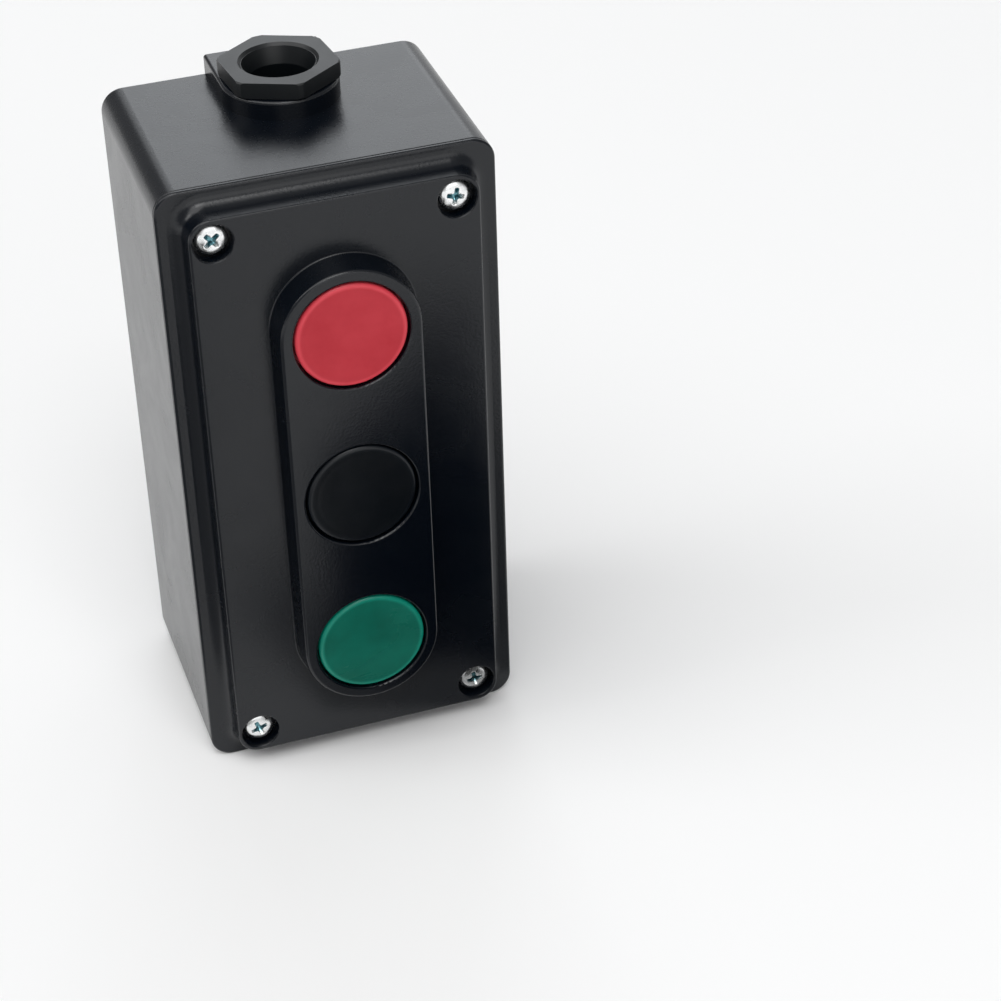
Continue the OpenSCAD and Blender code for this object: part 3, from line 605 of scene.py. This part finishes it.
def coil_spring_tree() -> NodeTree:
    """Return the tree that winds a compression spring with closed end turns, standing on zero along Z."""
    sheet, given, result = new_group(
        "Coil Spring", "GeometryNodeTree",
        {"Geometry": "Geometry", "Turns": 5.5, "Mean Radius": 6.5 * MM, "Wire Radius": 0.45 * MM,
         "Closed Pitch": 1.1, "Length": 12.0 * MM, "Steps": 180, "Sides": 10, "Material": "Material"},
        {"Geometry": "Geometry"})
    turns, radius, wire_radius = given["Turns"], given["Mean Radius"], given["Wire Radius"]
    wire = sheet.times(wire_radius, 2.0)
    line = sheet.add("GeometryNodeCurvePrimitiveLine").outputs[0]
    wound = sheet.add("GeometryNodeResampleCurve", {"Curve": line, "Count": given["Steps"]})
    along = sheet.times(sheet.add("GeometryNodeSplineParameter").outputs["Factor"], turns)
    closed = sheet.times(wire, given["Closed Pitch"])
    free = sheet.minus(sheet.minus(given["Length"], wire), sheet.times(closed, 2.0))
    first = sheet.times(sheet.math("ADD", along, 0.0, clamp=True), closed)
    last = sheet.times(sheet.math("SUBTRACT", along, sheet.minus(turns, 1.0), clamp=True), closed)
    share = sheet.math("DIVIDE", sheet.minus(along, 1.0), sheet.minus(turns, 2.0), clamp=True)
    rise = sheet.plus(sheet.plus(first, last), sheet.plus(sheet.times(free, share), wire_radius))
    angle = sheet.times(along, FULL_TURN)
    spot = sheet.add("ShaderNodeCombineXYZ", {
        "X": sheet.times(sheet.math("COSINE", angle), radius),
        "Y": sheet.times(sheet.math("SINE", angle), radius), "Z": rise}).outputs[0]
    path = sheet.add("GeometryNodeSetPosition", {"Geometry": wound.outputs[0], "Position": spot})
    section = sheet.add("GeometryNodeCurvePrimitiveCircle", {
        "Resolution": given["Sides"], "Radius": wire_radius})
    skin = sheet.add("GeometryNodeCurveToMesh", {
        "Curve": path.outputs[0], "Profile Curve": section.outputs[0], "Fill Caps": True})
    return close_tree(sheet, skin.outputs[0], given["Material"], result)


def placed_screw_tree() -> NodeTree:
    """Return the tree that sets a screw on every point, turned by the point's turn, its head to -Y."""
    sheet, given, result = new_group(
        "Placed Screws", "GeometryNodeTree",
        {"Geometry": "Geometry", "Screw": "Object", "Head Tilt": math.pi / 2, "Material": "Material"},
        {"Geometry": "Geometry"})
    screw = sheet.add("GeometryNodeObjectInfo", {"Object": given["Screw"]}).outputs["Geometry"]
    turn = sheet.add("GeometryNodeInputNamedAttribute", {"Name": "turn"})
    facing = sheet.add("ShaderNodeCombineXYZ", {
        "X": given["Head Tilt"], "Y": sheet.times(turn.outputs["Attribute"], -1.0)})
    placed = sheet.add("GeometryNodeInstanceOnPoints", {
        "Points": given["Geometry"], "Instance": screw, "Rotation": facing.outputs[0]})
    return close_tree(sheet, placed.outputs[0], given["Material"], result)


def extent(node: str) -> tuple[Vector, Vector]:
    """Measure a CAD node.

    Args:
        node: Its name.

    Returns:
        Its lowest and its highest corner.
    """
    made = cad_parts[node]
    places = [made.matrix_world @ Vector(corner) for corner in made.bound_box]
    return (Vector(min(place[k] for place in places) for k in range(3)),
            Vector(max(place[k] for place in places) for k in range(3)))


def smooth(mesh: Mesh, crease: float) -> None:
    """Shade a mesh smooth, but for edges that turn by more than some degrees."""
    mesh.shade_smooth()
    mesh.set_sharp_from_angle(angle=math.radians(crease))


def loft(name: str, rings: list[Ring], crease: float) -> Mesh:
    """Lay a closed skin over rings of equally many points.

    Args:
        name: Name of the mesh.
        rings: The rings in order; a fan closes the first and the last.
        crease: Degrees above which an edge stays sharp.

    Returns:
        The mesh.
    """
    skin = bmesh.new()
    rows = [[skin.verts.new(point) for point in ring] for ring in rings]
    count = len(rings[0])
    for lower, upper in zip(rows, rows[1:]):
        for k in range(count):
            skin.faces.new((lower[k], lower[(k + 1) % count], upper[(k + 1) % count], upper[k]))
    for row, order in ((rows[0], -1), (rows[-1], 1)):
        middle = skin.verts.new(sum((v.co for v in row), Vector()) / count)
        for k in range(count):
            skin.faces.new((row[k], row[(k + 1) % count], middle)[::order])
    bmesh.ops.recalc_face_normals(skin, faces=skin.faces)
    mesh = bpy.data.meshes.new(name)
    skin.to_mesh(mesh)
    skin.free()
    smooth(mesh, crease)
    return mesh


@dataclass
class CoilSpring:
    """A compression spring of round wire."""

    mean_diameter: float
    wire: float
    turns: float
    length: float
    steps_per_turn: int = 40
    sides: int = 12
    crease: float = 60.0

    def build(self, shop: Workshop, foot: Point) -> Mesh:
        """Wind the spring.

        Args:
            shop: Holds the tree and the steel.
            foot: Middle of its lower end; it stands from there towards -Y.

        Returns:
            The mesh in its place.
        """
        inputs = {"Turns": self.turns, "Mean Radius": self.mean_diameter / 2, "Wire Radius": self.wire / 2,
                  "Length": self.length, "Steps": round(self.turns * self.steps_per_turn) + 1,
                  "Sides": self.sides, "Material": shop.materials[Slot.STEEL]}
        mesh = run_tree(shop.spring_tree, bpy.data.meshes.new("spring"), inputs)
        mesh.transform(Matrix.Translation(foot) @ Matrix.Rotation(math.pi / 2, 4, "X"))
        smooth(mesh, self.crease)
        return mesh


@dataclass(frozen=True)
class PanHeadScrew:
    """A cross-recessed pan-head screw with a rolled thread; its head sits on zero and faces +Z."""

    head_diameter: float = 7.1 * MM
    head_height: float = 2.4 * MM
    head_side: float = 1.2 * MM
    head_chamfer: float = 0.12 * MM
    dome_power: float = 3.4
    crown_shares: tuple[float, ...] = (0.2, 0.4, 0.6, 0.78, 0.9, 0.97, 1.0)
    thread_diameter: float = 3.5 * MM
    thread_depth: float = 0.28 * MM
    thread_start: float = 0.15 * MM
    pitch: float = 0.6 * MM
    tooth_half: float = 0.38
    tooth_fill: float = 1.15
    rows_per_pitch: int = 5
    length: float = 12.0 * MM
    tip_rows: int = 8
    tip_width: float = 0.72
    point_width: float = 0.7
    cross_reach: float = 1.85 * MM
    wing: float = 0.48 * MM
    cross_core: float = 0.88 * MM
    cross_depth: float = 1.7 * MM
    cross_round: float = 0.05 * MM
    crease: float = 38.0

    def dome(self, reach: float) -> float:
        """Return the height of the head's top at a distance from its axis."""
        share = min(reach / (self.head_diameter / 2), 1.0)
        rise = self.head_height - self.head_side
        return self.head_side + rise * (1 - share ** self.dome_power) ** 0.5

    def cross(self, reach: float, wing: float, core: float) -> list[Pair]:
        """Draw the outline of the cross, twelve points for each of its wings.

        Args:
            reach: Length of a wing from the axis.
            wing: Half the width of a wing.
            core: Radius of the middle.

        Returns:
            The points.
        """
        inner = math.sqrt(max(core * core - wing * wing, 0.0))
        third, most = inner + (reach - inner) / 3, inner + (reach - inner) * 0.75
        shoulder, tip = reach + wing * 0.16, reach + wing * 0.2
        corner = (core * math.cos(EIGHTH_TURN), -core * math.sin(EIGHTH_TURN))
        lower = [(inner, -wing), (third, -wing), (most, -wing), (reach, -wing * 0.9), (shoulder, -wing / 2)]
        quarter = [corner, *lower, (tip, 0.0), *((x, -y) for x, y in reversed(lower))]
        outline = []
        for step in range(4):
            c, s = math.cos(step * math.pi / 2), math.sin(step * math.pi / 2)
            outline += [(x * c - y * s, x * s + y * c) for x, y in quarter]
        return outline

    def recess(self) -> list[Ring]:
        """Return the rings of the cross from its floor up, each by shares of depth, reach, wing and core."""
        made = []
        for depth, reach, wing, core in (
                (1.0, 0.22, 0.5, 0.5), (0.93, 0.42, 0.72, 0.72), (0.5, 0.72, 0.86, 0.9),
                (0.08, 0.97, 0.97, 0.98), (0.02, 1.0, 1.02, 1.0)):
            outline = self.cross(self.cross_reach * reach, self.wing * wing, self.cross_core * core)
            sunk = self.cross_depth * depth
            made.append([Vector((x, y, self.dome(math.hypot(x, y)) - sunk)) for x, y in outline])
        return made

    def crown(self) -> list[Ring]:
        """Return the rings of the head's top, which turn from the cross's outline into a circle."""
        rim = self.cross(self.cross_reach + self.cross_round, self.wing + 1.2 * self.cross_round,
                         self.cross_core + self.cross_round)
        made = [[Vector((x, y, self.dome(math.hypot(x, y)))) for x, y in rim]]
        edge = self.head_diameter / 2
        for share in self.crown_shares:
            ring = []
            for k, (x, y) in enumerate(rim):
                turn, even = math.atan2(y, x), -EIGHTH_TURN + FULL_TURN * k / len(rim)
                even += FULL_TURN * round((turn - even) / FULL_TURN)
                angle = turn + (even - turn) * share
                reach = math.hypot(x, y) + (edge - math.hypot(x, y)) * share
                ring.append(Vector((reach * math.cos(angle), reach * math.sin(angle), self.dome(reach))))
            made.append(ring)
        return made

    def shank(self, count: int) -> list[Ring]:
        """Return the rings from the head's underside along the thread to the tip.

        Args:
            count: Number of points in each ring.

        Returns:
            The rings.
        """
        edge, crest = self.head_diameter / 2, self.thread_diameter / 2
        root = crest - self.thread_depth
        angles = [-EIGHTH_TURN + FULL_TURN * k / count for k in range(count)]

        def turned(height: float, reaches: list[float]) -> Ring:
            """Return one ring at a height, each point at its own distance from the axis."""
            return [Vector((r * math.cos(a), r * math.sin(a), height)) for r, a in zip(reaches, angles)]

        made = [turned(height, [reach] * count) for reach, height in (
            (edge, self.head_chamfer), (edge - self.head_chamfer, 0.0), (crest, 0.0),
            (root, -self.thread_start))]
        rows = round(self.length / self.pitch * self.rows_per_pitch)
        first = 3
        for row in range(first, rows - 2):
            low = -self.length * row / rows
            fade = min(1.0, (row - first) / self.rows_per_pitch, (rows - row) / (2 * self.rows_per_pitch))
            taper = min(1.0, self.tip_width + (1 - self.tip_width) * (rows - row) / self.tip_rows)
            reaches = []
            for angle in angles:
                phase = (low / self.pitch - angle / FULL_TURN) % 1.0
                tooth = max(0.0, 1 - abs(phase - 0.5) / self.tooth_half) * fade
                reaches.append((root + (crest - root) * min(tooth * self.tooth_fill, 1.0)) * taper)
            made.append(turned(low, reaches))
        return [*made, turned(-self.length, [root * self.point_width] * count)]

    def build(self) -> Object:
        """Return the screw as an object, each of its points knowing its own place on the screw."""
        crown = self.crown()
        mesh = loft("pan_head_screw", [*self.recess(), *crown, *self.shank(len(crown[0]))], self.crease)
        own = mesh.attributes.new("own_place", "FLOAT_VECTOR", "POINT")
        own.data.foreach_set("vector", [value for vertex in mesh.vertices for value in vertex.co])
        return bpy.data.objects.new("pan_head_screw", mesh)


@dataclass
class Shell:
    """The moulded housing and cover with what is set into them, as the CAD gives them."""

    nodes: tuple[str, ...] = ("housing", "cover", "cover_gasket", "threaded_inserts")

    def dress(self, shop: Workshop) -> None:
        """Give each part its finish."""
        shop.dress(*self.nodes)


@dataclass
class CoverScrews:
    """The four screws that hold the cover, each stopped at its own turn in degrees."""

    screw: PanHeadScrew = PanHeadScrew()
    turns: tuple[float, ...] = (42.0, -12.0, 20.0, 8.0)

    def places(self) -> list[Point]:
        """Return the seats of the four heads, which follow from the CAD screws."""
        low, high = extent("cover_screws")
        inset = self.screw.head_diameter / 2
        seat = low.y + self.screw.head_height
        return [(x, seat, z) for z in (high.z - inset, low.z + inset)
                for x in (low.x + inset, high.x - inset)]

    def build(self, shop: Workshop) -> None:
        """Set the screws into the cover's recesses.

        Args:
            shop: Holds the tree and the plating.
        """
        points = bpy.data.meshes.new("screw_places")
        points.from_pydata(self.places(), [], [])
        turn = points.attributes.new("turn", "FLOAT", "POINT")
        turn.data.foreach_set("value", [math.radians(value) for value in self.turns])
        screw = self.screw.build()
        mesh = run_tree(shop.screw_tree, points, {"Screw": screw, "Material": shop.screw_plating})
        shop.piece("cover_screw_set", "box", Slot.ZINC, mesh, "cover_screws")
        bpy.data.objects.remove(screw)


@dataclass
class CableGland:
    """The gland nut, the washer below it and the rubber ring that grips the cable."""

    nodes: tuple[str, ...] = ("gland_nut", "gland_washer", "gland_seal_ring")
    nut_finish: MouldedPlastic = MouldedPlastic(
        "Nut Black", (0.0006, 0.0020, 0.0032), (0.003, 0.005, 0.007), roughness=(0.39, 0.45),
        grain_size=0.3 * MM, dust=0.01)

    def dress(self, shop: Workshop) -> None:
        """Give each part its finish; the nut is a little duller than the shell.

        Args:
            shop: Holds the materials.
        """
        shop.dress(*self.nodes)
        dull = self.nut_finish.make(shop.effects)
        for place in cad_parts["gland_nut"].material_slots:
            place.material = dull


@dataclass
class DishedCap:
    """A button cap turned in one piece: dished face, rounded rim, skirt with its flange, and the hub."""

    radius: float = 12.2 * MM
    bead_width: float = 1.7 * MM
    bead_rise: float = 0.08 * MM
    bead_blend: float = 0.9 * MM
    edge_drop: float = 0.75 * MM
    dish_depth: float = 0.25 * MM
    dish_steps: int = 12
    bead_steps: int = 8
    face_thickness: float = 2.2 * MM
    skirt: float = 1.8 * MM
    flange_top: float = 4.6 * MM
    flange_low: float = 6.1 * MM
    flange_width: float = 1.7 * MM
    hub_radius: float = 4.6 * MM
    stem_radius: float = 2.55 * MM
    stem_room: float = 0.4 * MM
    # Width of the band that gets the painted rim highlight.
    rim_highlight_width: float = 1.3 * MM
    segments: int = 144
    crease: float = 50.0

    def profile(self, hub_low: float) -> list[Pair]:
        """Return the half section as distances from the axis and depths below the bead's crest.

        Args:
            hub_low: Depth of the hub's end.

        Returns:
            The points from the middle of the face round to the bottom of the stem's hole.
        """
        face_edge = self.radius - self.bead_width - self.bead_blend
        crest = self.radius - self.bead_width / 2
        dish_shares = [k / self.dish_steps for k in range(1, self.dish_steps + 1)]
        bead_shares = [k / self.bead_steps for k in range(1, self.bead_steps + 1)]
        dished = [(face_edge * t, self.bead_rise + self.dish_depth * (1 - t ** 2)) for t in dish_shares]
        swell = [(face_edge + (crest - face_edge) * t, self.bead_rise * (1 - t * t * (3 - 2 * t)))
                 for t in bead_shares]
        turn = [(crest + (self.radius - crest) * math.sin(math.pi / 2 * t),
                 self.edge_drop * (1 - math.cos(math.pi / 2 * t))) for t in bead_shares]
        under = self.bead_rise + self.dish_depth + self.face_thickness
        outer, inner = self.radius + self.flange_width, self.radius - self.skirt
        works = [(self.radius, self.flange_top), (outer, self.flange_top), (outer, self.flange_low),
                 (inner, self.flange_low), (inner, under), (self.hub_radius, under),
                 (self.hub_radius, hub_low), (self.stem_radius, hub_low),
                 (self.stem_radius, under + self.stem_room)]
        return dished + swell + turn + works

    def build(self, node: str) -> Mesh:
        """Turn the cap where its CAD node is.

        Args:
            node: CAD node of the cap.

        Returns:
            The mesh in its place.
        """
        low, high = extent(node)
        centre = (low + high) / 2
        angles = [FULL_TURN * k / self.segments for k in range(self.segments)]
        rings = [[Vector((centre.x + reach * math.cos(a), low.y + depth, centre.z + reach * math.sin(a)))
                  for a in angles] for reach, depth in self.profile(high.y - low.y)]
        mesh = loft(node, rings, self.crease)
        reaches = [math.hypot(vertex.co.x - centre.x, vertex.co.z - centre.z) for vertex in mesh.vertices]
        # The rim attribute is the mask of the painted highlight on the cap's rim.
        rim = mesh.attributes.new("rim", "FLOAT", "POINT")
        rim.data.foreach_set("value", [self.rim_highlight_share(reach) for reach in reaches])
        return mesh

    def rim_highlight_share(self, reach: float) -> float:
        """Return how much painted highlight a point of the rim gets: nought on the face, one from the rim's
        middle outwards.
        """
        return min(max(2 * (reach - self.radius + self.rim_highlight_width) / self.rim_highlight_width, 0.0), 1.0)


@dataclass
class ButtonUnit:
    """One button from its cap to its contacts."""

    name: str
    cap_slot: Slot
    travel: float = 4.5 * MM
    return_wire: float = 0.9 * MM
    return_turns: float = 5.5
    contact_wire: float = 0.5 * MM
    contact_turns: float = 5.0
    kept_nodes: tuple[str, ...] = ("button_seal", "plunger", "contact_block", "contact_bridge",
                                   "fixed_contacts", "terminal_clamps", "terminal_screws", "block_screws")

    def dress(self, shop: Workshop) -> None:
        """Give the CAD parts of the button their finishes."""
        shop.dress(*(f"{self.name}_{node}" for node in self.kept_nodes))

    def wind(self, shop: Workshop, node: str, wire: float,
             turns: float) -> tuple[Mesh, Point, float]:
        """Wind a spring between the ends of its CAD node.

        Args:
            shop: Holds the tree and the steel.
            node: CAD node of the spring.
            wire: Diameter of the wire.
            turns: Number of turns.

        Returns:
            The mesh, the middle of its inner end and its length.
        """
        low, high = extent(f"{self.name}_{node}")
        foot = ((low.x + high.x) / 2, high.y, (low.z + high.z) / 2)
        spring = CoilSpring(high.x - low.x - wire, wire, turns, high.y - low.y)
        return spring.build(shop, foot), foot, spring.length

    def build(self, shop: Workshop) -> None:
        """Turn the cap, wind the two springs and put them in.

        Args:
            shop: Holds the materials and the tree.
        """
        body = f"{self.name}_button"
        cap = DishedCap().build(f"{self.name}_button_cap")
        cap.materials.append(shop.materials[self.cap_slot])
        shop.piece(f"{self.name}_dished_cap", body, self.cap_slot, cap, f"{self.name}_button_cap")
        mesh, foot, length = self.wind(shop, "return_spring", self.return_wire, self.return_turns)
        piece = shop.piece(f"{self.name}_return_coil", "box", Slot.STEEL, mesh, f"{self.name}_return_spring")
        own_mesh(piece)
        mesh, _, _ = self.wind(shop, "contact_spring", self.contact_wire, self.contact_turns)
        shop.piece(f"{self.name}_contact_coil", body, Slot.STEEL, mesh, f"{self.name}_contact_spring")


def matte(name: str, grey: float, roughness: float) -> tuple[Material, Sheet, Node]:
    """Start a plain grey material without gloss.

    Args:
        name: Name of the material.
        grey: How light it is.
        roughness: Its roughness.

    Returns:
        The material, its sheet and its Principled shader.
    """
    colour = (grey, grey, grey)
    material, sheet, shader = new_material(name, colour)
    sheet.feed(shader, {"Base Color": rgba(colour), "Roughness": roughness, "Specular IOR Level": 0.0})
    return material, sheet, shader


@dataclass(frozen=True)
class Flag:
    """A dark block on the floor that only the gloss sees, a painted reflection of dark surroundings and
    shade; its height and its corners, in order, in millimetres.
    """

    name: str
    height: float
    grey: float
    outline: tuple[Pair, ...]

    def lay(self) -> None:
        """Lay the block, which only the gloss sees, to deepen what the front reflects: a painted reflection
        of dark surroundings and shade.
        """
        count = len(self.outline)
        points = [(x * MM, y * MM, z * MM) for z in (0.0, self.height) for x, y in self.outline]
        sides = [(k, (k + 1) % count, count + (k + 1) % count, count + k) for k in range(count)]
        mesh = bpy.data.meshes.new(self.name)
        mesh.from_pydata(points, [], [*sides, tuple(range(count))[::-1], tuple(range(count, 2 * count))])
        mesh.materials.append(matte("Painted Reflection Matte", self.grey, roughness=0.8)[0])
        laid = stand(self.name, mesh)
        for kind in ("camera", "diffuse", "transmission", "volume_scatter", "shadow"):
            setattr(laid, f"visible_{kind}", False)


@dataclass(frozen=True)
class Softbox:
    """A rectangular lamp; its radiance is how bright its cloth is."""

    name: str
    place: Point
    size: Pair
    radiance: float
    colour: Colour = WHITE

    def hang(self, aim: Point) -> None:
        """Hang the lamp.

        Args:
            aim: Point that it faces.
        """
        data = bpy.data.lights.new(self.name, "AREA")
        data.shape = "RECTANGLE"
        data.size, data.size_y = self.size
        data.energy = self.radiance * math.pi * data.size * data.size_y
        data.color = self.colour
        turn = (Vector(aim) - Vector(self.place)).to_track_quat("-Z", "Y").to_matrix().to_4x4()
        stand(self.name, data).matrix_world = Matrix.Translation(self.place) @ turn


# Painted reflections: blocks that only the gloss sees. At the right front they are a dark neighbour with
# painted shade on the floor around it, and at the left front a darker floor.
PAINTED_REFLECTIONS = (
    Flag("black_flag", 55.0, 0.004, ((0, -74), (54, -131), (60, -125), (37, -38))),
    Flag("black_apron", 0.5, 0.004, ((-6, -76), (54, -131), (62, -123), (42, -43), (14, -50), (4, -59))),
    Flag("grey_verge", 0.3, 0.36,
         ((-18, -88), (54, -150), (84, -120), (50, -20), (38, -26), (10, -34), (-7, -40))),
    Flag("side_apron", 0.4, 0.01,
         ((-34, -72), (-30, -95), (-22, -156), (-8, -270), (-80, -270), (-58, -160))),
    Flag("side_verge", 0.2, 0.26,
         ((-36, -64), (-30, -95), (-8, -270), (-300, -300), (-420, 100), (-200, 110))),
)

SOFTBOXES = (
    Softbox("top_softbox", (-1.1, -0.8, 3.3), (3.6, 3.0), 1.86),
    Softbox("key_softbox", (0.0, -2.0, 2.9), (1.4, 1.1), 4.2),
    Softbox("back_softbox", (0.86, 3.2, 1.6), (1.2, 3.1), 1.85, COOL_WHITE),
    Softbox("edge_softbox", (-0.03, 3.2, 1.6), (0.65, 3.1), 0.8, COOL_WHITE),
    Softbox("corner_softbox", (2.4, 2.7, 1.5), (2.3, 2.9), 0.65, (0.95, 0.975, 1.0)),
    Softbox("side_softbox", (-3.2, 0.6, 2.6), (2.0, 1.6), 2.5),
    Softbox("front_softbox", (0.2, -3.3, 1.2), (3.0, 2.0), 1.1),
)


@dataclass
class Studio:
    """Pale floor, soft lights and the camera of the picture, whose turns are in degrees."""

    floor_size: float = 40.0
    floor_grey: float = 0.96
    floor_roughness: float = 0.9
    pale_from: float = 0.9
    pale_by: float = 2.6
    paleness: float = 0.92
    surround: float = 0.29
    lamp_aim: Point = (0.0, 0.0, 70.0 * MM)
    lens: float = 97.242
    sensor_width: float = 36.0
    sight: Pair = (0.01, 50.0)
    eye: Point = (-117.638 * MM, -497.163 * MM, 404.311 * MM)
    azimuth: float = -17.7307
    elevation: float = 34.8702
    roll: float = -1.7527

    def camera(self) -> None:
        """Set the camera where the picture was taken from."""
        data = bpy.data.cameras.new("camera")
        data.lens, data.sensor_width = self.lens, self.sensor_width
        data.clip_start, data.clip_end = self.sight
        camera = stand("camera", data)
        place = Matrix.Translation(self.eye)
        for degrees, axis in ((self.azimuth, "Z"), (90.0 - self.elevation, "X"), (self.roll, "Z")):
            place = place @ Matrix.Rotation(math.radians(degrees), 4, axis)
        camera.matrix_world = place
        bpy.context.scene.camera = camera

    def floor(self) -> None:
        """Lay the floor; far from the object it stays pale for the eye, for gloss and for glass."""
        half = self.floor_size / 2
        mesh = bpy.data.meshes.new("floor")
        mesh.from_pydata([(-half, -half, 0), (half, -half, 0), (half, half, 0), (-half, half, 0)], [],
                         [(0, 1, 2, 3)])
        material, sheet, shader = matte("Studio Floor", self.floor_grey, self.floor_roughness)
        place = sheet.add("ShaderNodeTexCoord").outputs["Object"]
        far = sheet.spread(sheet.measure("LENGTH", place), self.pale_from, self.pale_by, smooth=True)
        ray = sheet.add("ShaderNodeLightPath").outputs
        traced = sheet.plus(ray["Is Glossy Ray"], ray["Is Transmission Ray"])
        looked_at = sheet.math("ADD", ray["Is Camera Ray"], traced, clamp=True)
        pale = sheet.add("ShaderNodeEmission", {"Strength": self.paleness})
        skin = sheet.add("ShaderNodeMixShader", {
            0: sheet.times(looked_at, far), 1: shader.outputs[0], 2: pale.outputs[0]})
        sheet.feed(sheet.tree.nodes["Material Output"], {"Surface": skin.outputs[0]})
        mesh.materials.append(material)
        floor = stand("floor", mesh)

    def world(self) -> None:
        """Surround the object with one even room, the same for every ray."""
        world = bpy.data.worlds.new("studio")
        world.use_nodes = True
        bpy.context.scene.world = world
        room = Sheet(world.node_tree)
        room.feed(room.tree.nodes["Background"], {"Strength": self.surround, "Color": rgba(WHITE)})

    def build(self) -> None:
        """Set up the whole studio."""
        self.camera()
        self.floor()
        self.world()
        for painted_reflection in PAINTED_REFLECTIONS:
            painted_reflection.lay()
        for softbox in SOFTBOXES:
            softbox.hang(self.lamp_aim)
        bpy.context.scene.view_settings.view_transform = "Standard"


def main() -> None:
    """Build the studio, then each sub-assembly in order."""
    logging.basicConfig(level=logging.INFO, format="%(message)s")
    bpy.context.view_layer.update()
    Studio().build()
    shop = Workshop()
    Shell().dress(shop)
    CableGland().dress(shop)
    CoverScrews().build(shop)
    for name, cap_slot in (("red", Slot.RED_CAP), ("black", Slot.BLACK_CAP), ("green", Slot.GREEN_CAP)):
        unit = ButtonUnit(name, cap_slot)
        unit.dress(shop)
        unit.build(shop)


if __name__ == "__main__":
    main()
